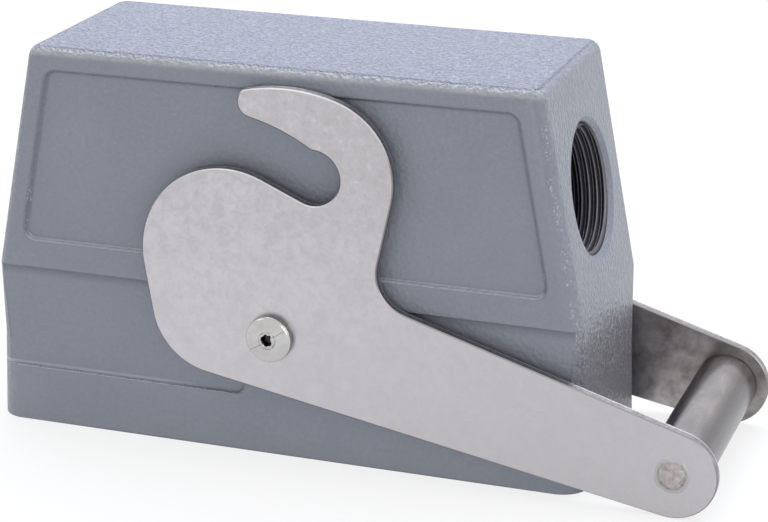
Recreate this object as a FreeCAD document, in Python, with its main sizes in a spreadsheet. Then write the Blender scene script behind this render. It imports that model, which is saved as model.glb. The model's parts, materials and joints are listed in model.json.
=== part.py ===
import FreeCAD, Part
import math
import os
import Sketcher
from FreeCAD import Vector

# Heavy duty rectangular connector hood, cable side, with its locking lever.
# Millimetres and degrees. X runs along the hood and Y across it, +Z is up.
# The origin is the centre of the open rim, and the cable entry faces +X.

DRIVING_SIZES = [
    # Hood casting
    ("hood_height", 76.0),
    ("ridge_height", 32.0),
    ("skirt_draft", 1.3),
    ("end_draft", 8.45),
    ("wall_thickness", 3.5),
    ("skirt_corner", 5.5),
    ("waist_height", 17.5),
    ("upper_corner", 3.2),
    ("inner_corner", 2.5),
    ("top_edge", 2.4),
    ("side_skim", 0.02),
    # Recessed panel on each long side
    ("panel_depth", 0.8),
    ("panel_foot_margin", 5.8),
    ("panel_head_margin", 4.4),
    ("panel_side_margin", 5.09),
    ("panel_corner", 2.2),
    ("recess_edge", 0.3),
    # Relief under the ridge, either side of the lever's pad
    ("relief_depth", 0.8),
    ("relief_foot", 11.4),
    ("relief_corner", 1.8),
    ("pad_width", 14.0),
    # Cable entry
    ("entry_height", 52.8),
    ("thread_major", 25.0),
    ("entry_edge", 0.9),
    ("entry_boss_wall", 3.2),
    ("entry_boss_reach", 5.0),
    # Lever pivot
    ("pivot_height", 25.0),
    ("pin_diameter", 6.0),
    ("running_clearance", 0.05),
    ("fixed_clearance", 0.02),
    ("pin_head_rim", 1.5),
    ("pin_head_height", 2.0),
    ("pin_head_taper", 0.7),
    ("pin_centre_diameter", 2.0),
    ("pin_centre_depth", 1.4),
    ("pin_tail_rim", 1.0),
    ("pin_tail_height", 0.9),
    ("washer_rim", 2.5),
    ("washer_thickness", 1.0),
    ("axial_play", 0.05),
    # Lever arm: places are measured from the pivot
    ("arm_thickness", 2.0),
    ("arm_edge", 0.22),
    ("handle_reach", 17.1),
    ("end_drop", 16.7),
    ("end_radius", 8.3),
    ("heel_x", 11.0),
    ("heel_rise", 4.3),
    ("heel_radius", 13.2),
    ("lobe_x", 8.6),
    ("lobe_rise", 14.7),
    ("lobe_radius", 17.3),
    ("throat_x", 8.5),
    ("throat_rise", 31.9),
    ("throat_radius", 5.3),
    ("hook_width", 10.2),
    ("nose_x", 3.1),
    ("nose_rise", 45.1),
    ("nose_radius", 2.9),
    ("nose_corner", 0.8),
    ("crown_radius", 33.0),
    ("crown_x", 3.0),
    ("underside_radius", 38.0),
    ("underside_x", 12.1),
    ("nib_radius", 1.5),
    ("neck_lean", 12.4),
    ("neck_radius", 7.7),
    ("beam_slope", 17.0),
    # Handle bar
    ("bar_diameter", 12.0),
    ("bar_gap", 0.05),
    ("bar_edge", 0.5),
    ("tenon_diameter", 5.4),
    ("stake_rim", 0.4),
    ("stake_height", 0.4),
    # Contacts and their clamping screws
    ("contact_pitch", 7.0),
    ("contact_row", 13.4),
    ("contact_diameter", 2.5),
    ("contact_recess", 3.0),
    ("contact_tip", 0.7),
    ("barrel_diameter", 5.2),
    ("barrel_recess", 3.0),
    ("wire_bore", 3.2),
    ("wire_depth", 9.0),
    ("contact_clearance", 0.06),
    ("clamp_diameter", 3.4),
    ("clamp_drop", 3.5),
    ("clamp_length", 3.0),
    # Contact insert, laid out round its two rows of contacts
    ("insert_seat", 19.5),
    ("row_end_margin", 5.5),
    ("mating_side", 6.7),
    ("terminal_side", 8.3),
    ("flange_thickness", 3.0),
    ("insert_corner", 2.0),
    ("insert_gap", 1.0),
    ("mating_foot", 1.0),
    ("shroud_wall", 1.8),
    ("socket_depth", 12.0),
    ("socket_floor_thickness", 3.5),
    ("terminal_rise", 13.5),
    # Screws and bosses that hold the insert
    ("screw_stand_off", 8.0),
    ("screw_spacing_y", 27.0),
    ("screw_land", 3.5),
    ("boss_diameter", 10.0),
    ("boss_height", 14.5),
    ("boss_bore_depth", 9.0),
    ("screw_diameter", 4.0),
    ("screw_head_diameter", 7.0),
    ("screw_head_height", 2.6),
    ("screw_length", 9.0),
    ("screw_hole_clearance", 0.2),
    ("screw_slot_width", 1.0),
    ("screw_slot_depth", 1.1),
    # Earth plates
    ("earth_length", 9.0),
    ("earth_width", 14.0),
    ("earth_thickness", 1.0),
    ("earth_setback", 0.6),
    ("earth_bend", 0.5),
    ("earth_upstand", 9.0),
    ("earth_screw_inset", 4.0),
]
CONTACTS_IN_ROW = 12
CLOSE = 0.001

doc = FreeCAD.newDocument("rectangular_connector")
sheet = doc.addObject("Spreadsheet::Sheet", "sizes")
for row, (name, number) in enumerate(DRIVING_SIZES, start=1):
    sheet.set(f"A{row}", name)
    sheet.set(f"B{row}", str(number))
    sheet.setAlias(f"B{row}", name)
doc.recompute()


class Size:
    """A length that knows its number and the expression that ties it to the sheet."""

    def __init__(self, number, text):
        self.number = number
        self.text = text

    def joined(self, sign, other, number):
        other_text = other.text if isinstance(other, Size) else repr(float(other))
        return Size(number, f"({self.text} {sign} {other_text})")

    def __add__(self, other):
        return self.joined("+", other, self.number + plain(other))

    def __sub__(self, other):
        return self.joined("-", other, self.number - plain(other))

    def __mul__(self, other):
        return self.joined("*", other, self.number * plain(other))

    def __truediv__(self, other):
        return self.joined("/", other, self.number / plain(other))

    def __neg__(self):
        return Size(-self.number, f"(-1 * {self.text})")


def plain(size):
    return size.number if isinstance(size, Size) else float(size)


def angle_of(rise, run):
    """The angle whose tangent is rise / run, in degrees."""
    turn = math.degrees(math.atan(plain(rise) / plain(run)))
    return Size(turn, f"atan({rise.text} / {run.text})")


class Sizes:
    """The sheet's cells by name, such as hood_length."""

    def __init__(self, rows):
        for name, number in rows:
            setattr(self, name, Size(number, f"sizes.{name}"))


S = Sizes(DRIVING_SIZES)


def bind(thing, prop, size):
    """Tie a property to the sheet."""
    thing.setExpression(prop, size.text)


def new_body(name):
    body = doc.addObject("PartDesign::Body", name)
    body.Label = name
    body.AllowCompound = True
    return body


def origin_feature(body, role):
    for feature in body.Origin.OriginFeatures:
        if feature.Role == role:
            return feature
    raise ValueError(role)


def new_sketch(body, name, plane, offset=None):
    """A sketch on one of the body's origin planes, lifted along the plane's normal."""
    sketch = body.newObject("Sketcher::SketchObject", name)
    sketch.AttachmentSupport = [(origin_feature(body, plane), "")]
    sketch.MapMode = "FlatFace"
    if offset is not None:
        bind(sketch, "AttachmentOffset.Base.z", offset)
    return sketch


def constrain(sketch, kind, *where, size=None):
    """Add a constraint. One with a size is tied to the sheet."""
    if size is None:
        sketch.addConstraint(Sketcher.Constraint(kind, *where))
        return
    number = math.radians(size.number) if kind == "Angle" else size.number
    index = sketch.addConstraint(Sketcher.Constraint(kind, *where, number))
    sketch.setExpression(f"Constraints[{index}]", size.text)


def locate(sketch, geometry, point, x, y):
    """Tie a point of a sketch to its place from the sketch's origin."""
    for kind, size in (("DistanceX", x), ("DistanceY", y)):
        if size is None:
            axis = -2 if kind == "DistanceX" else -1
            constrain(sketch, "PointOnObject", geometry, point, axis)
        elif size.number >= 0:
            constrain(sketch, kind, -1, 1, geometry, point, size=size)
        else:
            constrain(sketch, kind, geometry, point, -1, 1, size=-size)


def circle(sketch, x, y, diameter):
    """A circle at a place, None meaning on the sketch's own axis."""
    centre = Vector(plain(x or 0), plain(y or 0), 0)
    index = sketch.addGeometry(Part.Circle(centre, Vector(0, 0, 1), diameter.number / 2))
    constrain(sketch, "Diameter", index, size=diameter)
    locate(sketch, index, 3, x, y)
    return index


def outline(sketch, corners, radii=None):
    """A closed outline through corners that are each tied to the sheet.

    A corner with a radius gets a tangent arc. One without stays sharp.
    """
    radii = radii or [None] * len(corners)
    points = [Vector(plain(x or 0), plain(y or 0), 0) for x, y in corners]
    count = len(points)
    bends = []
    for index, radius in enumerate(radii):
        here = points[index]
        if radius is None:
            bends.append((here, here, here))
            continue
        back = (points[index - 1] - here).normalize()
        ahead = (points[(index + 1) % count] - here).normalize()
        half = back.getAngle(ahead) / 2
        middle = (back + ahead).normalize()
        reach = radius.number / math.tan(half)
        through = here + middle * (radius.number / math.sin(half) - radius.number)
        bends.append((here + back * reach, through, here + ahead * reach))
    lines = []
    for index, bend in enumerate(bends):
        side = Part.LineSegment(bend[2], bends[(index + 1) % count][0])
        lines.append(sketch.addGeometry(side))
    for index, radius in enumerate(radii):
        if radius is None:
            constrain(sketch, "Coincident", lines[index - 1], 2, lines[index], 1)
            locate(sketch, lines[index], 1, *corners[index])
            continue
        arc = sketch.addGeometry(Part.Arc(*bends[index]))
        first, last = arc_ends(sketch, arc, bends[index][0])
        constrain(sketch, "Tangent", lines[index - 1], 2, arc, first)
        constrain(sketch, "Tangent", arc, last, lines[index], 1)
        constrain(sketch, "Radius", arc, size=radius)
        helper = sketch.addGeometry(Part.Point(points[index]), True)
        constrain(sketch, "PointOnObject", helper, 1, lines[index - 1])
        constrain(sketch, "PointOnObject", helper, 1, lines[index])
        locate(sketch, helper, 1, *corners[index])


def arc_ends(sketch, index, start):
    """Which ends of an arc are its start and end when walked from a point."""
    first = sketch.getPoint(index, 1)
    return (1, 2) if first.distanceToPoint(start) < 1e-6 else (2, 1)


def rounded_rectangle(sketch, length, width, radius):
    x = length / 2
    y = width / 2
    outline(sketch, [(-x, -y), (x, -y), (x, y), (-x, y)], [radius] * 4)


def add_feature(body, kind, name, profile):
    feature = body.newObject(f"PartDesign::{kind}", name)
    feature.Profile = profile
    profile.Visibility = False
    return feature


def pad(body, name, profile, length, backwards=False):
    feature = add_feature(body, "Pad", name, profile)
    bind(feature, "Length", length)
    feature.Reversed = backwards
    return feature


def pocket(body, name, profile, depth=None, backwards=False):
    """A pocket of a stated depth, or through everything both ways."""
    feature = add_feature(body, "Pocket", name, profile)
    if depth is None:
        feature.Type = "ThroughAll"
        feature.Midplane = True
    else:
        bind(feature, "Length", depth)
        feature.Reversed = backwards
    return feature


def loft(body, kind, name, first, second):
    feature = add_feature(body, kind, name, first)
    feature.Sections = [second]
    feature.Ruled = True
    second.Visibility = False
    return feature


def turned(body, name, plane, corners):
    """A solid of revolution about the sketch's upright axis."""
    sketch = new_sketch(body, f"{name}_profile", plane)
    outline(sketch, corners)
    feature = add_feature(body, "Revolution", name, sketch)
    feature.ReferenceAxis = (sketch, ["V_Axis"])
    feature.Angle = 360
    return feature


def mirrored(body, name, originals, plane):
    feature = body.newObject("PartDesign::Mirrored", name)
    feature.Originals = originals
    feature.MirrorPlane = (origin_feature(body, plane), [""])
    body.Tip = feature
    return feature


def edges_at(shape, axis, level, low=None, high=None):
    """Names of the edges that lie wholly in a plane across an axis, and between two heights."""
    names = []
    for number, edge in enumerate(shape.Edges, start=1):
        box = edge.BoundBox
        off_plane = max(abs(getattr(box, f"{axis}{end}") - level.number) for end in ("Min", "Max"))
        if off_plane > CLOSE:
            continue
        if low is not None and (box.ZMin < low.number - CLOSE or box.ZMax > high.number + CLOSE):
            continue
        names.append(f"Edge{number}")
    return names


def dress(body, kind, name, base, edges, prop, size):
    """Round or break edges of the solid as it stands at a feature."""
    feature = body.newObject(f"PartDesign::{kind}", name)
    feature.Base = (base, edges)
    bind(feature, prop, size)
    return feature


# Sizes and places that several pieces share

block_length = S.contact_pitch * (CONTACTS_IN_ROW - 1) + S.row_end_margin * 2
mating_width = S.contact_row + S.mating_side * 2
terminal_width = S.contact_row + S.terminal_side * 2
screw_spacing_x = block_length + S.screw_stand_off * 2
insert_length = screw_spacing_x + S.screw_land * 2
insert_width = S.screw_spacing_y + S.screw_land * 2
hood_length = insert_length + (S.insert_gap + S.wall_thickness) * 2
hood_width = insert_width + (S.insert_gap + S.wall_thickness) * 2
ridge_length = hood_length - S.skirt_draft * 2
top_length = ridge_length - S.end_draft * 2
end_wall_rise = S.hood_height - S.ridge_height
end_wall_slope = S.end_draft / end_wall_rise
end_wall_lean = angle_of(S.end_draft, end_wall_rise)
pad_face = hood_width / 2
arm_inner_face = pad_face + S.washer_thickness + S.axial_play
arm_outer_face = arm_inner_face + S.arm_thickness
arm_bore = S.pin_diameter + S.running_clearance * 2
wall_bore = S.pin_diameter + S.fixed_clearance * 2
tenon_bore = S.tenon_diameter + S.fixed_clearance * 2
flange_foot = S.insert_seat - S.flange_thickness
socket_floor = S.mating_foot + S.socket_depth
barrel_foot = socket_floor + S.socket_floor_thickness
terminal_top = S.insert_seat + S.terminal_rise
barrel_top = terminal_top - S.barrel_recess
clamp_height = barrel_top - S.clamp_drop
end_x = hood_length / 2 + S.handle_reach
end_height = S.pivot_height - S.end_drop
earth_screw_x = insert_length / 2 - S.earth_setback - S.earth_screw_inset
screw_x = screw_spacing_x / 2
screw_y = S.screw_spacing_y / 2
screw_places = [(-screw_x, -screw_y), (screw_x, -screw_y), (screw_x, screw_y), (-screw_x, screw_y)]
contact_y = S.contact_row / 2
contact_places = []
for side in (-1, 1):
    for step in range(CONTACTS_IN_ROW):
        x = S.contact_pitch * (step - (CONTACTS_IN_ROW - 1) / 2)
        contact_places.append((x, contact_y * side))


def make_hood():
    """The casting: a skirt and a leaning upper part, cored out, with its bosses and recesses."""
    body = new_body("hood_shell")
    skirt_slope = S.skirt_draft / S.ridge_height
    outer_stations = [
        ("rim", None, hood_length, S.skirt_corner),
        ("waist", S.waist_height, hood_length - skirt_slope * S.waist_height * 2, S.skirt_corner),
        ("ridge", S.ridge_height, ridge_length, S.upper_corner),
        ("crown", S.hood_height, top_length, S.upper_corner),
    ]
    outer = []
    for name, height, length, corner in outer_stations:
        sketch = new_sketch(body, name, "XY_Plane", height)
        rounded_rectangle(sketch, length, hood_width + S.side_skim * 2, corner)
        outer.append(sketch)
    loft(body, "AdditiveLoft", "lower_skirt", outer[0], outer[1])
    loft(body, "AdditiveLoft", "upper_skirt", outer[1], outer[2])
    upper_part = loft(body, "AdditiveLoft", "upper_part", outer[2], outer[3])
    doc.recompute()
    top_edges = edges_at(upper_part.Shape, "Z", S.hood_height)
    dress(body, "Fillet", "top_rounding", upper_part, top_edges, "Radius", S.top_edge)

    double_wall = S.wall_thickness * 2
    ceiling = S.hood_height - S.wall_thickness
    ceiling_length = top_length + end_wall_slope * S.wall_thickness * 2 - double_wall
    inner_stations = [
        ("core_mouth", None, hood_length - double_wall),
        ("core_ridge", S.ridge_height, ridge_length - double_wall),
        ("core_ceiling", ceiling, ceiling_length),
    ]
    inner = []
    for name, height, length in inner_stations:
        sketch = new_sketch(body, name, "XY_Plane", height)
        rounded_rectangle(sketch, length, hood_width - double_wall, S.inner_corner)
        inner.append(sketch)
    loft(body, "SubtractiveLoft", "lower_core", inner[0], inner[1])
    loft(body, "SubtractiveLoft", "upper_core", inner[1], inner[2])

    bosses = new_sketch(body, "boss_circles", "XY_Plane", S.insert_seat)
    bores = new_sketch(body, "boss_bore_circles", "XY_Plane", S.insert_seat)
    for x, y in screw_places:
        circle(bosses, x, y, S.boss_diameter)
        circle(bores, x, y, S.screw_diameter)
    pad(body, "insert_bosses", bosses, S.boss_height)
    pocket(body, "boss_bores", bores, S.boss_bore_depth, backwards=True)

    make_entry(body)
    front = [skim_side(body), make_panel(body), make_relief(body, -1), make_relief(body, 1)]
    mirrored(body, "rear_side", front, "XZ_Plane")
    ease_recesses(body)

    pivots = new_sketch(body, "pivot_circle", "XZ_Plane")
    circle(pivots, None, S.pivot_height, wall_bore)
    pocket(body, "pivot_bores", pivots)
    return body


def make_entry(body):
    """The cable entry, square to the leaning end wall, with a boss inside for its thread."""
    entry_x = ridge_length / 2 - (S.entry_height - S.ridge_height) * end_wall_slope
    boss_length = S.wall_thickness + S.entry_boss_reach
    steps = [
        ("entry_boss", S.thread_major + S.entry_boss_wall * 2, boss_length),
        ("entry_bore", S.thread_major, boss_length + S.wall_thickness),
    ]
    for name, diameter, length in steps:
        sketch = new_sketch(body, f"{name}_circle", "YZ_Plane")
        sketch.AttachmentOffset = FreeCAD.Placement(Vector(), FreeCAD.Rotation(Vector(1, 0, 0), 1))
        bind(sketch, "AttachmentOffset.Rotation.Angle", -end_wall_lean)
        bind(sketch, "AttachmentOffset.Base.y", S.entry_height)
        bind(sketch, "AttachmentOffset.Base.z", entry_x)
        circle(sketch, None, None, diameter)
        if name == "entry_boss":
            pad(body, name, sketch, length, backwards=True)
        else:
            bore = pocket(body, name, sketch, length)
    doc.recompute()
    mouth = []
    for number, edge in enumerate(bore.Shape.Edges, start=1):
        box = edge.BoundBox
        if box.XMax > entry_x.number and abs(box.YLength - S.thread_major.number) < CLOSE:
            mouth.append(f"Edge{number}")
    dress(body, "Chamfer", "entry_edge", bore, mouth, "Size", S.entry_edge)


def skim_side(body):
    """Skim the long side down to a true plane, which what is cut into it starts from."""
    sketch = new_sketch(body, "side_outline", "XZ_Plane", pad_face)
    outline_rectangle(sketch, hood_length * 2, S.hood_height * 3)
    return pocket(body, "side_plane", sketch, S.wall_thickness, backwards=True)


def make_panel(body):
    """The shallow framed field on the long side."""
    sketch = new_sketch(body, "panel_outline", "XZ_Plane", pad_face)
    low = S.ridge_height + S.panel_foot_margin
    high = S.hood_height - S.panel_head_margin
    foot = ridge_length / 2 - end_wall_slope * S.panel_foot_margin - S.panel_side_margin
    head = top_length / 2 + end_wall_slope * S.panel_head_margin - S.panel_side_margin
    corners = [(-foot, low), (foot, low), (head, high), (-head, high)]
    outline(sketch, corners, [S.panel_corner] * 4)
    return pocket(body, "panel_recess", sketch, S.panel_depth)


def make_relief(body, side):
    """The lowered skirt field, from the lever's pad out through the rounded corner."""
    name = "left_relief" if side < 0 else "right_relief"
    sketch = new_sketch(body, f"{name}_outline", "XZ_Plane", pad_face)
    near = S.pad_width / 2 * side
    far = (hood_length / 2 + S.skirt_corner) * side
    over = S.ridge_height
    corners = [(near, over), (near, S.relief_foot), (far, S.relief_foot), (far, over)]
    outline(sketch, corners, [None, S.relief_corner, None, None])
    return pocket(body, name, sketch, S.relief_depth)


def ease_recesses(body):
    """Round the reliefs' outer edges up to the ridge, and break the rim and the floor of the panels."""
    cut = body.Tip
    doc.recompute()
    edges = []
    for level in (pad_face, -pad_face):
        for name in edges_at(cut.Shape, "Y", level, S.relief_foot, S.ridge_height):
            box = cut.Shape.getElement(name).BoundBox
            if max(box.XMin, -box.XMax) > S.pad_width.number / 2 - CLOSE:
                edges.append(name)
    cut = dress(body, "Fillet", "relief_edges", cut, edges, "Radius", S.recess_edge)
    foot = S.ridge_height + S.panel_foot_margin
    head = S.hood_height - S.panel_head_margin
    for name, level in (("rims", pad_face), ("floors", pad_face - S.panel_depth)):
        doc.recompute()
        edges = edges_at(cut.Shape, "Y", level, foot, head) + edges_at(cut.Shape, "Y", -level, foot, head)
        cut = dress(body, "Chamfer", f"panel_{name}", cut, edges, "Size", S.recess_edge)


def make_pin(name, turn):
    """A turned pivot pin, drawn for the rear: tail inside the wall, shank, then the head."""
    body = new_body(name)
    inside = pad_face - S.wall_thickness
    head_foot = arm_outer_face + S.axial_play
    head_top = head_foot + S.pin_head_height
    shank = S.pin_diameter / 2
    tail = shank + S.pin_tail_rim
    head = shank + S.pin_head_rim
    hole = S.pin_centre_diameter / 2
    hole_foot = head_top - S.pin_centre_depth
    turned(body, "pin", "XY_Plane", [
        (None, inside - S.pin_tail_height), (tail, inside - S.pin_tail_height), (tail, inside),
        (shank, inside), (shank, head_foot), (head, head_foot),
        (head, head_top - S.pin_head_taper), (head - S.pin_head_taper * 2, head_top),
        (hole, head_top), (hole, hole_foot), (None, hole_foot)])
    body.Placement = FreeCAD.Placement(Vector(), FreeCAD.Rotation(Vector(0, 0, 1), turn))
    bind(body, "Placement.Base.z", S.pivot_height)
    return body


def make_washer(name, side):
    body = new_body(name)
    sketch = new_sketch(body, "ring", "XZ_Plane", pad_face * -side)
    circle(sketch, None, S.pivot_height, S.pin_diameter + S.washer_rim * 2)
    circle(sketch, None, S.pivot_height, wall_bore)
    pad(body, "washer", sketch, S.washer_thickness, backwards=side > 0)
    return body


def tangent_points(a, a_radius, b, b_radius, side):
    """Where the line that touches two circles meets them.

    The side is 1 for the left of the way from a to b. A circle that lies
    beyond the line has a negative radius.
    """
    along = b - a
    reach = along.Length
    along.normalize()
    across = Vector(-along.y, along.x, 0) * side
    lean = (a_radius - b_radius) / reach
    normal = across * math.sqrt(1 - lean * lean) + along * lean
    return a + normal * a_radius, b + normal * b_radius


def circles_meet(a, a_radius, b, b_radius, side):
    """One of the two points where two circles cross, to the left or right of a to b."""
    along = b - a
    reach = along.Length
    along.normalize()
    step = (reach * reach + a_radius * a_radius - b_radius * b_radius) / (2 * reach)
    rise = math.sqrt(a_radius * a_radius - step * step)
    return a + along * step + Vector(-along.y, along.x, 0) * (rise * side)


def toward(start, end, reach):
    """The point at a distance from start on the way to end."""
    return start + (end - start).normalize() * reach


def lever_outline(sketch):
    """The stamped outline: beam and round end, neck, hook, throat, lobe and heel.

    All of it is lines and arcs that run into each other without a corner.
    The numbers worked out here only start the sketch, and its constraints
    tie it to the sheet.
    """
    end = Vector(end_x.number, end_height.number, 0)
    heel_place = (-S.heel_x, S.pivot_height + S.heel_rise)
    lobe_place = (-S.lobe_x, S.pivot_height + S.lobe_rise)
    throat_place = (S.throat_x, S.pivot_height + S.throat_rise)
    nose_place = (-S.nose_x, S.pivot_height + S.nose_rise)
    heel = Vector(heel_place[0].number, heel_place[1].number, 0)
    lobe = Vector(lobe_place[0].number, lobe_place[1].number, 0)
    throat = Vector(throat_place[0].number, throat_place[1].number, 0)
    nose = Vector(nose_place[0].number, nose_place[1].number, 0)
    back_radius = S.throat_radius + S.hook_width

    crown_reach = S.crown_radius.number - back_radius.number
    crown_shift = throat.x - S.crown_x.number
    crown = Vector(S.crown_x.number, throat.y - math.sqrt(crown_reach**2 - crown_shift**2), 0)
    under_reach = S.underside_radius.number + S.nose_radius.number
    under_shift = nose.x + S.underside_x.number
    under = Vector(-S.underside_x.number, nose.y - math.sqrt(under_reach**2 - under_shift**2), 0)
    nib_radius = S.nib_radius.number
    corner_radius = S.nose_corner.number
    nib = circles_meet(throat, S.throat_radius.number + nib_radius,
                       under, S.underside_radius.number + nib_radius, -1)
    corner = circles_meet(crown, S.crown_radius.number - corner_radius,
                          nose, S.nose_radius.number - corner_radius, 1)

    heel_foot, end_foot = tangent_points(heel, S.heel_radius.number, end, S.end_radius.number, -1)
    heel_side, lobe_side = tangent_points(heel, S.heel_radius.number, lobe, S.lobe_radius.number, 1)
    lobe_slot, throat_slot = tangent_points(lobe, S.lobe_radius.number,
                                            throat, -S.throat_radius.number, 1)
    lean = math.radians(S.neck_lean.number)
    slope = math.radians(S.beam_slope.number)
    neck_normal = Vector(math.cos(lean), -math.sin(lean), 0)
    beam_normal = Vector(math.sin(slope), math.cos(slope), 0)
    back_side = throat + neck_normal * back_radius.number
    end_top = end + beam_normal * S.end_radius.number
    neck_radius = S.neck_radius.number
    neck = meeting_point(back_side + neck_normal * neck_radius, Vector(-neck_normal.y, neck_normal.x, 0),
                         end_top + beam_normal * neck_radius, Vector(-beam_normal.y, beam_normal.x, 0))
    nib_throat = toward(throat, nib, S.throat_radius.number)
    nib_under = toward(under, nib, S.underside_radius.number)
    nose_under = toward(under, nose, S.underside_radius.number)
    nose_top = toward(nose, corner, S.nose_radius.number)
    corner_top = toward(crown, corner, S.crown_radius.number)
    crown_back = toward(crown, throat, S.crown_radius.number)

    path = []

    def line(start, finish):
        index = sketch.addGeometry(Part.LineSegment(start, finish))
        path.append((index, 1, 2))
        return index

    def arc(centre, start, finish, outward=True):
        """An arc that bulges out of the metal, or into it."""
        first, last = (start, finish) if outward else (finish, start)
        first_angle = math.atan2(first.y - centre.y, first.x - centre.x)
        last_angle = math.atan2(last.y - centre.y, last.x - centre.x)
        ring = Part.Circle(centre, Vector(0, 0, 1), (start - centre).Length)
        index = sketch.addGeometry(Part.ArcOfCircle(ring, first_angle, last_angle))
        path.append((index, 1, 2) if outward else (index, 2, 1))
        return index

    line(heel_foot, end_foot)
    end_arc = arc(end, end_foot, end_top)
    beam_line = line(end_top, neck - beam_normal * neck_radius)
    neck_arc = arc(neck, neck - beam_normal * neck_radius, neck - neck_normal * neck_radius, False)
    neck_line = line(neck - neck_normal * neck_radius, back_side)
    back_arc = arc(throat, back_side, crown_back)
    crown_arc = arc(crown, crown_back, corner_top)
    corner_arc = arc(corner, corner_top, nose_top)
    nose_arc = arc(nose, nose_top, nose_under)
    under_arc = arc(under, nose_under, nib_under, False)
    nib_arc = arc(nib, nib_under, nib_throat)
    throat_arc = arc(throat, nib_throat, throat_slot, False)
    line(throat_slot, lobe_slot)
    lobe_arc = arc(lobe, lobe_slot, lobe_side)
    line(lobe_side, heel_side)
    heel_arc = arc(heel, heel_side, heel_foot)

    for here, after in zip(path, path[1:] + path[:1]):
        constrain(sketch, "Tangent", here[0], here[2], after[0], after[1])
    for index, radius in (
            (end_arc, S.end_radius), (neck_arc, S.neck_radius), (back_arc, back_radius),
            (crown_arc, S.crown_radius), (corner_arc, S.nose_corner), (nose_arc, S.nose_radius),
            (under_arc, S.underside_radius), (nib_arc, S.nib_radius),
            (throat_arc, S.throat_radius), (lobe_arc, S.lobe_radius), (heel_arc, S.heel_radius)):
        constrain(sketch, "Radius", index, size=radius)
    locate(sketch, end_arc, 3, end_x, end_height)
    locate(sketch, heel_arc, 3, *heel_place)
    locate(sketch, lobe_arc, 3, *lobe_place)
    locate(sketch, throat_arc, 3, *throat_place)
    locate(sketch, nose_arc, 3, *nose_place)
    constrain(sketch, "Coincident", back_arc, 3, throat_arc, 3)
    constrain(sketch, "DistanceX", -1, 1, crown_arc, 3, size=S.crown_x)
    constrain(sketch, "DistanceX", under_arc, 3, -1, 1, size=S.underside_x)
    constrain(sketch, "Angle", neck_line, size=-S.neck_lean + 90)
    constrain(sketch, "Angle", beam_line, size=-S.beam_slope + 180)


def meeting_point(a, a_way, b, b_way):
    """Where two straight lines cross."""
    gap = b - a
    turn = a_way.x * b_way.y - a_way.y * b_way.x
    return a + a_way * ((gap.x * b_way.y - gap.y * b_way.x) / turn)


def make_arm(name, side):
    """One stamped arm of the lever. The two arms are alike."""
    body = new_body(name)
    start_face = arm_inner_face if side < 0 else -arm_outer_face
    sketch = new_sketch(body, "arm_outline", "XZ_Plane", start_face)
    lever_outline(sketch)
    circle(sketch, None, S.pivot_height, arm_bore)
    circle(sketch, end_x, end_height, tenon_bore)
    plate = pad(body, "arm", sketch, S.arm_thickness)
    doc.recompute()
    edges = [f"Edge{number}" for number, edge in enumerate(plate.Shape.Edges, start=1)
             if edge.BoundBox.YLength < CLOSE]
    dress(body, "Chamfer", "edge_break", plate, edges, "Size", S.arm_edge)
    return body


def make_handle_bar():
    """The bar between the arms, turned in one piece with its staked tenons."""
    body = new_body("handle_bar")
    shoulder = arm_inner_face - S.bar_gap
    tip = arm_outer_face + S.stake_height
    bar = S.bar_diameter / 2
    tenon = S.tenon_diameter / 2
    stake = tenon + S.stake_rim
    half = [(tenon, tip), (stake, arm_outer_face), (tenon, arm_outer_face), (tenon, shoulder),
            (bar - S.bar_edge, shoulder), (bar, shoulder - S.bar_edge)]
    corners = [(None, -tip)] + [(x, -y) for x, y in half] + half[::-1] + [(None, tip)]
    turned(body, "bar", "XY_Plane", corners)
    bind(body, "Placement.Base.x", end_x)
    bind(body, "Placement.Base.z", end_height)
    return body


def pattern(body, name, originals, steps):
    """Repeat features in rows and across mirror planes."""
    moves = []
    for kind, where, count, length in steps:
        move = body.newObject(f"PartDesign::{kind}", f"{name}_{where[0].lower()}")
        if kind == "LinearPattern":
            move.Direction = (origin_feature(body, where), [""])
            move.Occurrences = count
            bind(move, "Length", length)
        else:
            move.MirrorPlane = (origin_feature(body, where), [""])
        moves.append(move)
    feature = body.newObject("PartDesign::MultiTransform", name)
    feature.Originals = originals
    feature.Transformations = moves
    body.Tip = feature
    return feature


CONTACT_ROW = ("LinearPattern", "X_Axis", CONTACTS_IN_ROW, S.contact_pitch * (CONTACTS_IN_ROW - 1))
OTHER_ROW = ("Mirrored", "XZ_Plane", 2, None)
OTHER_END = ("Mirrored", "YZ_Plane", 2, None)


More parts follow.
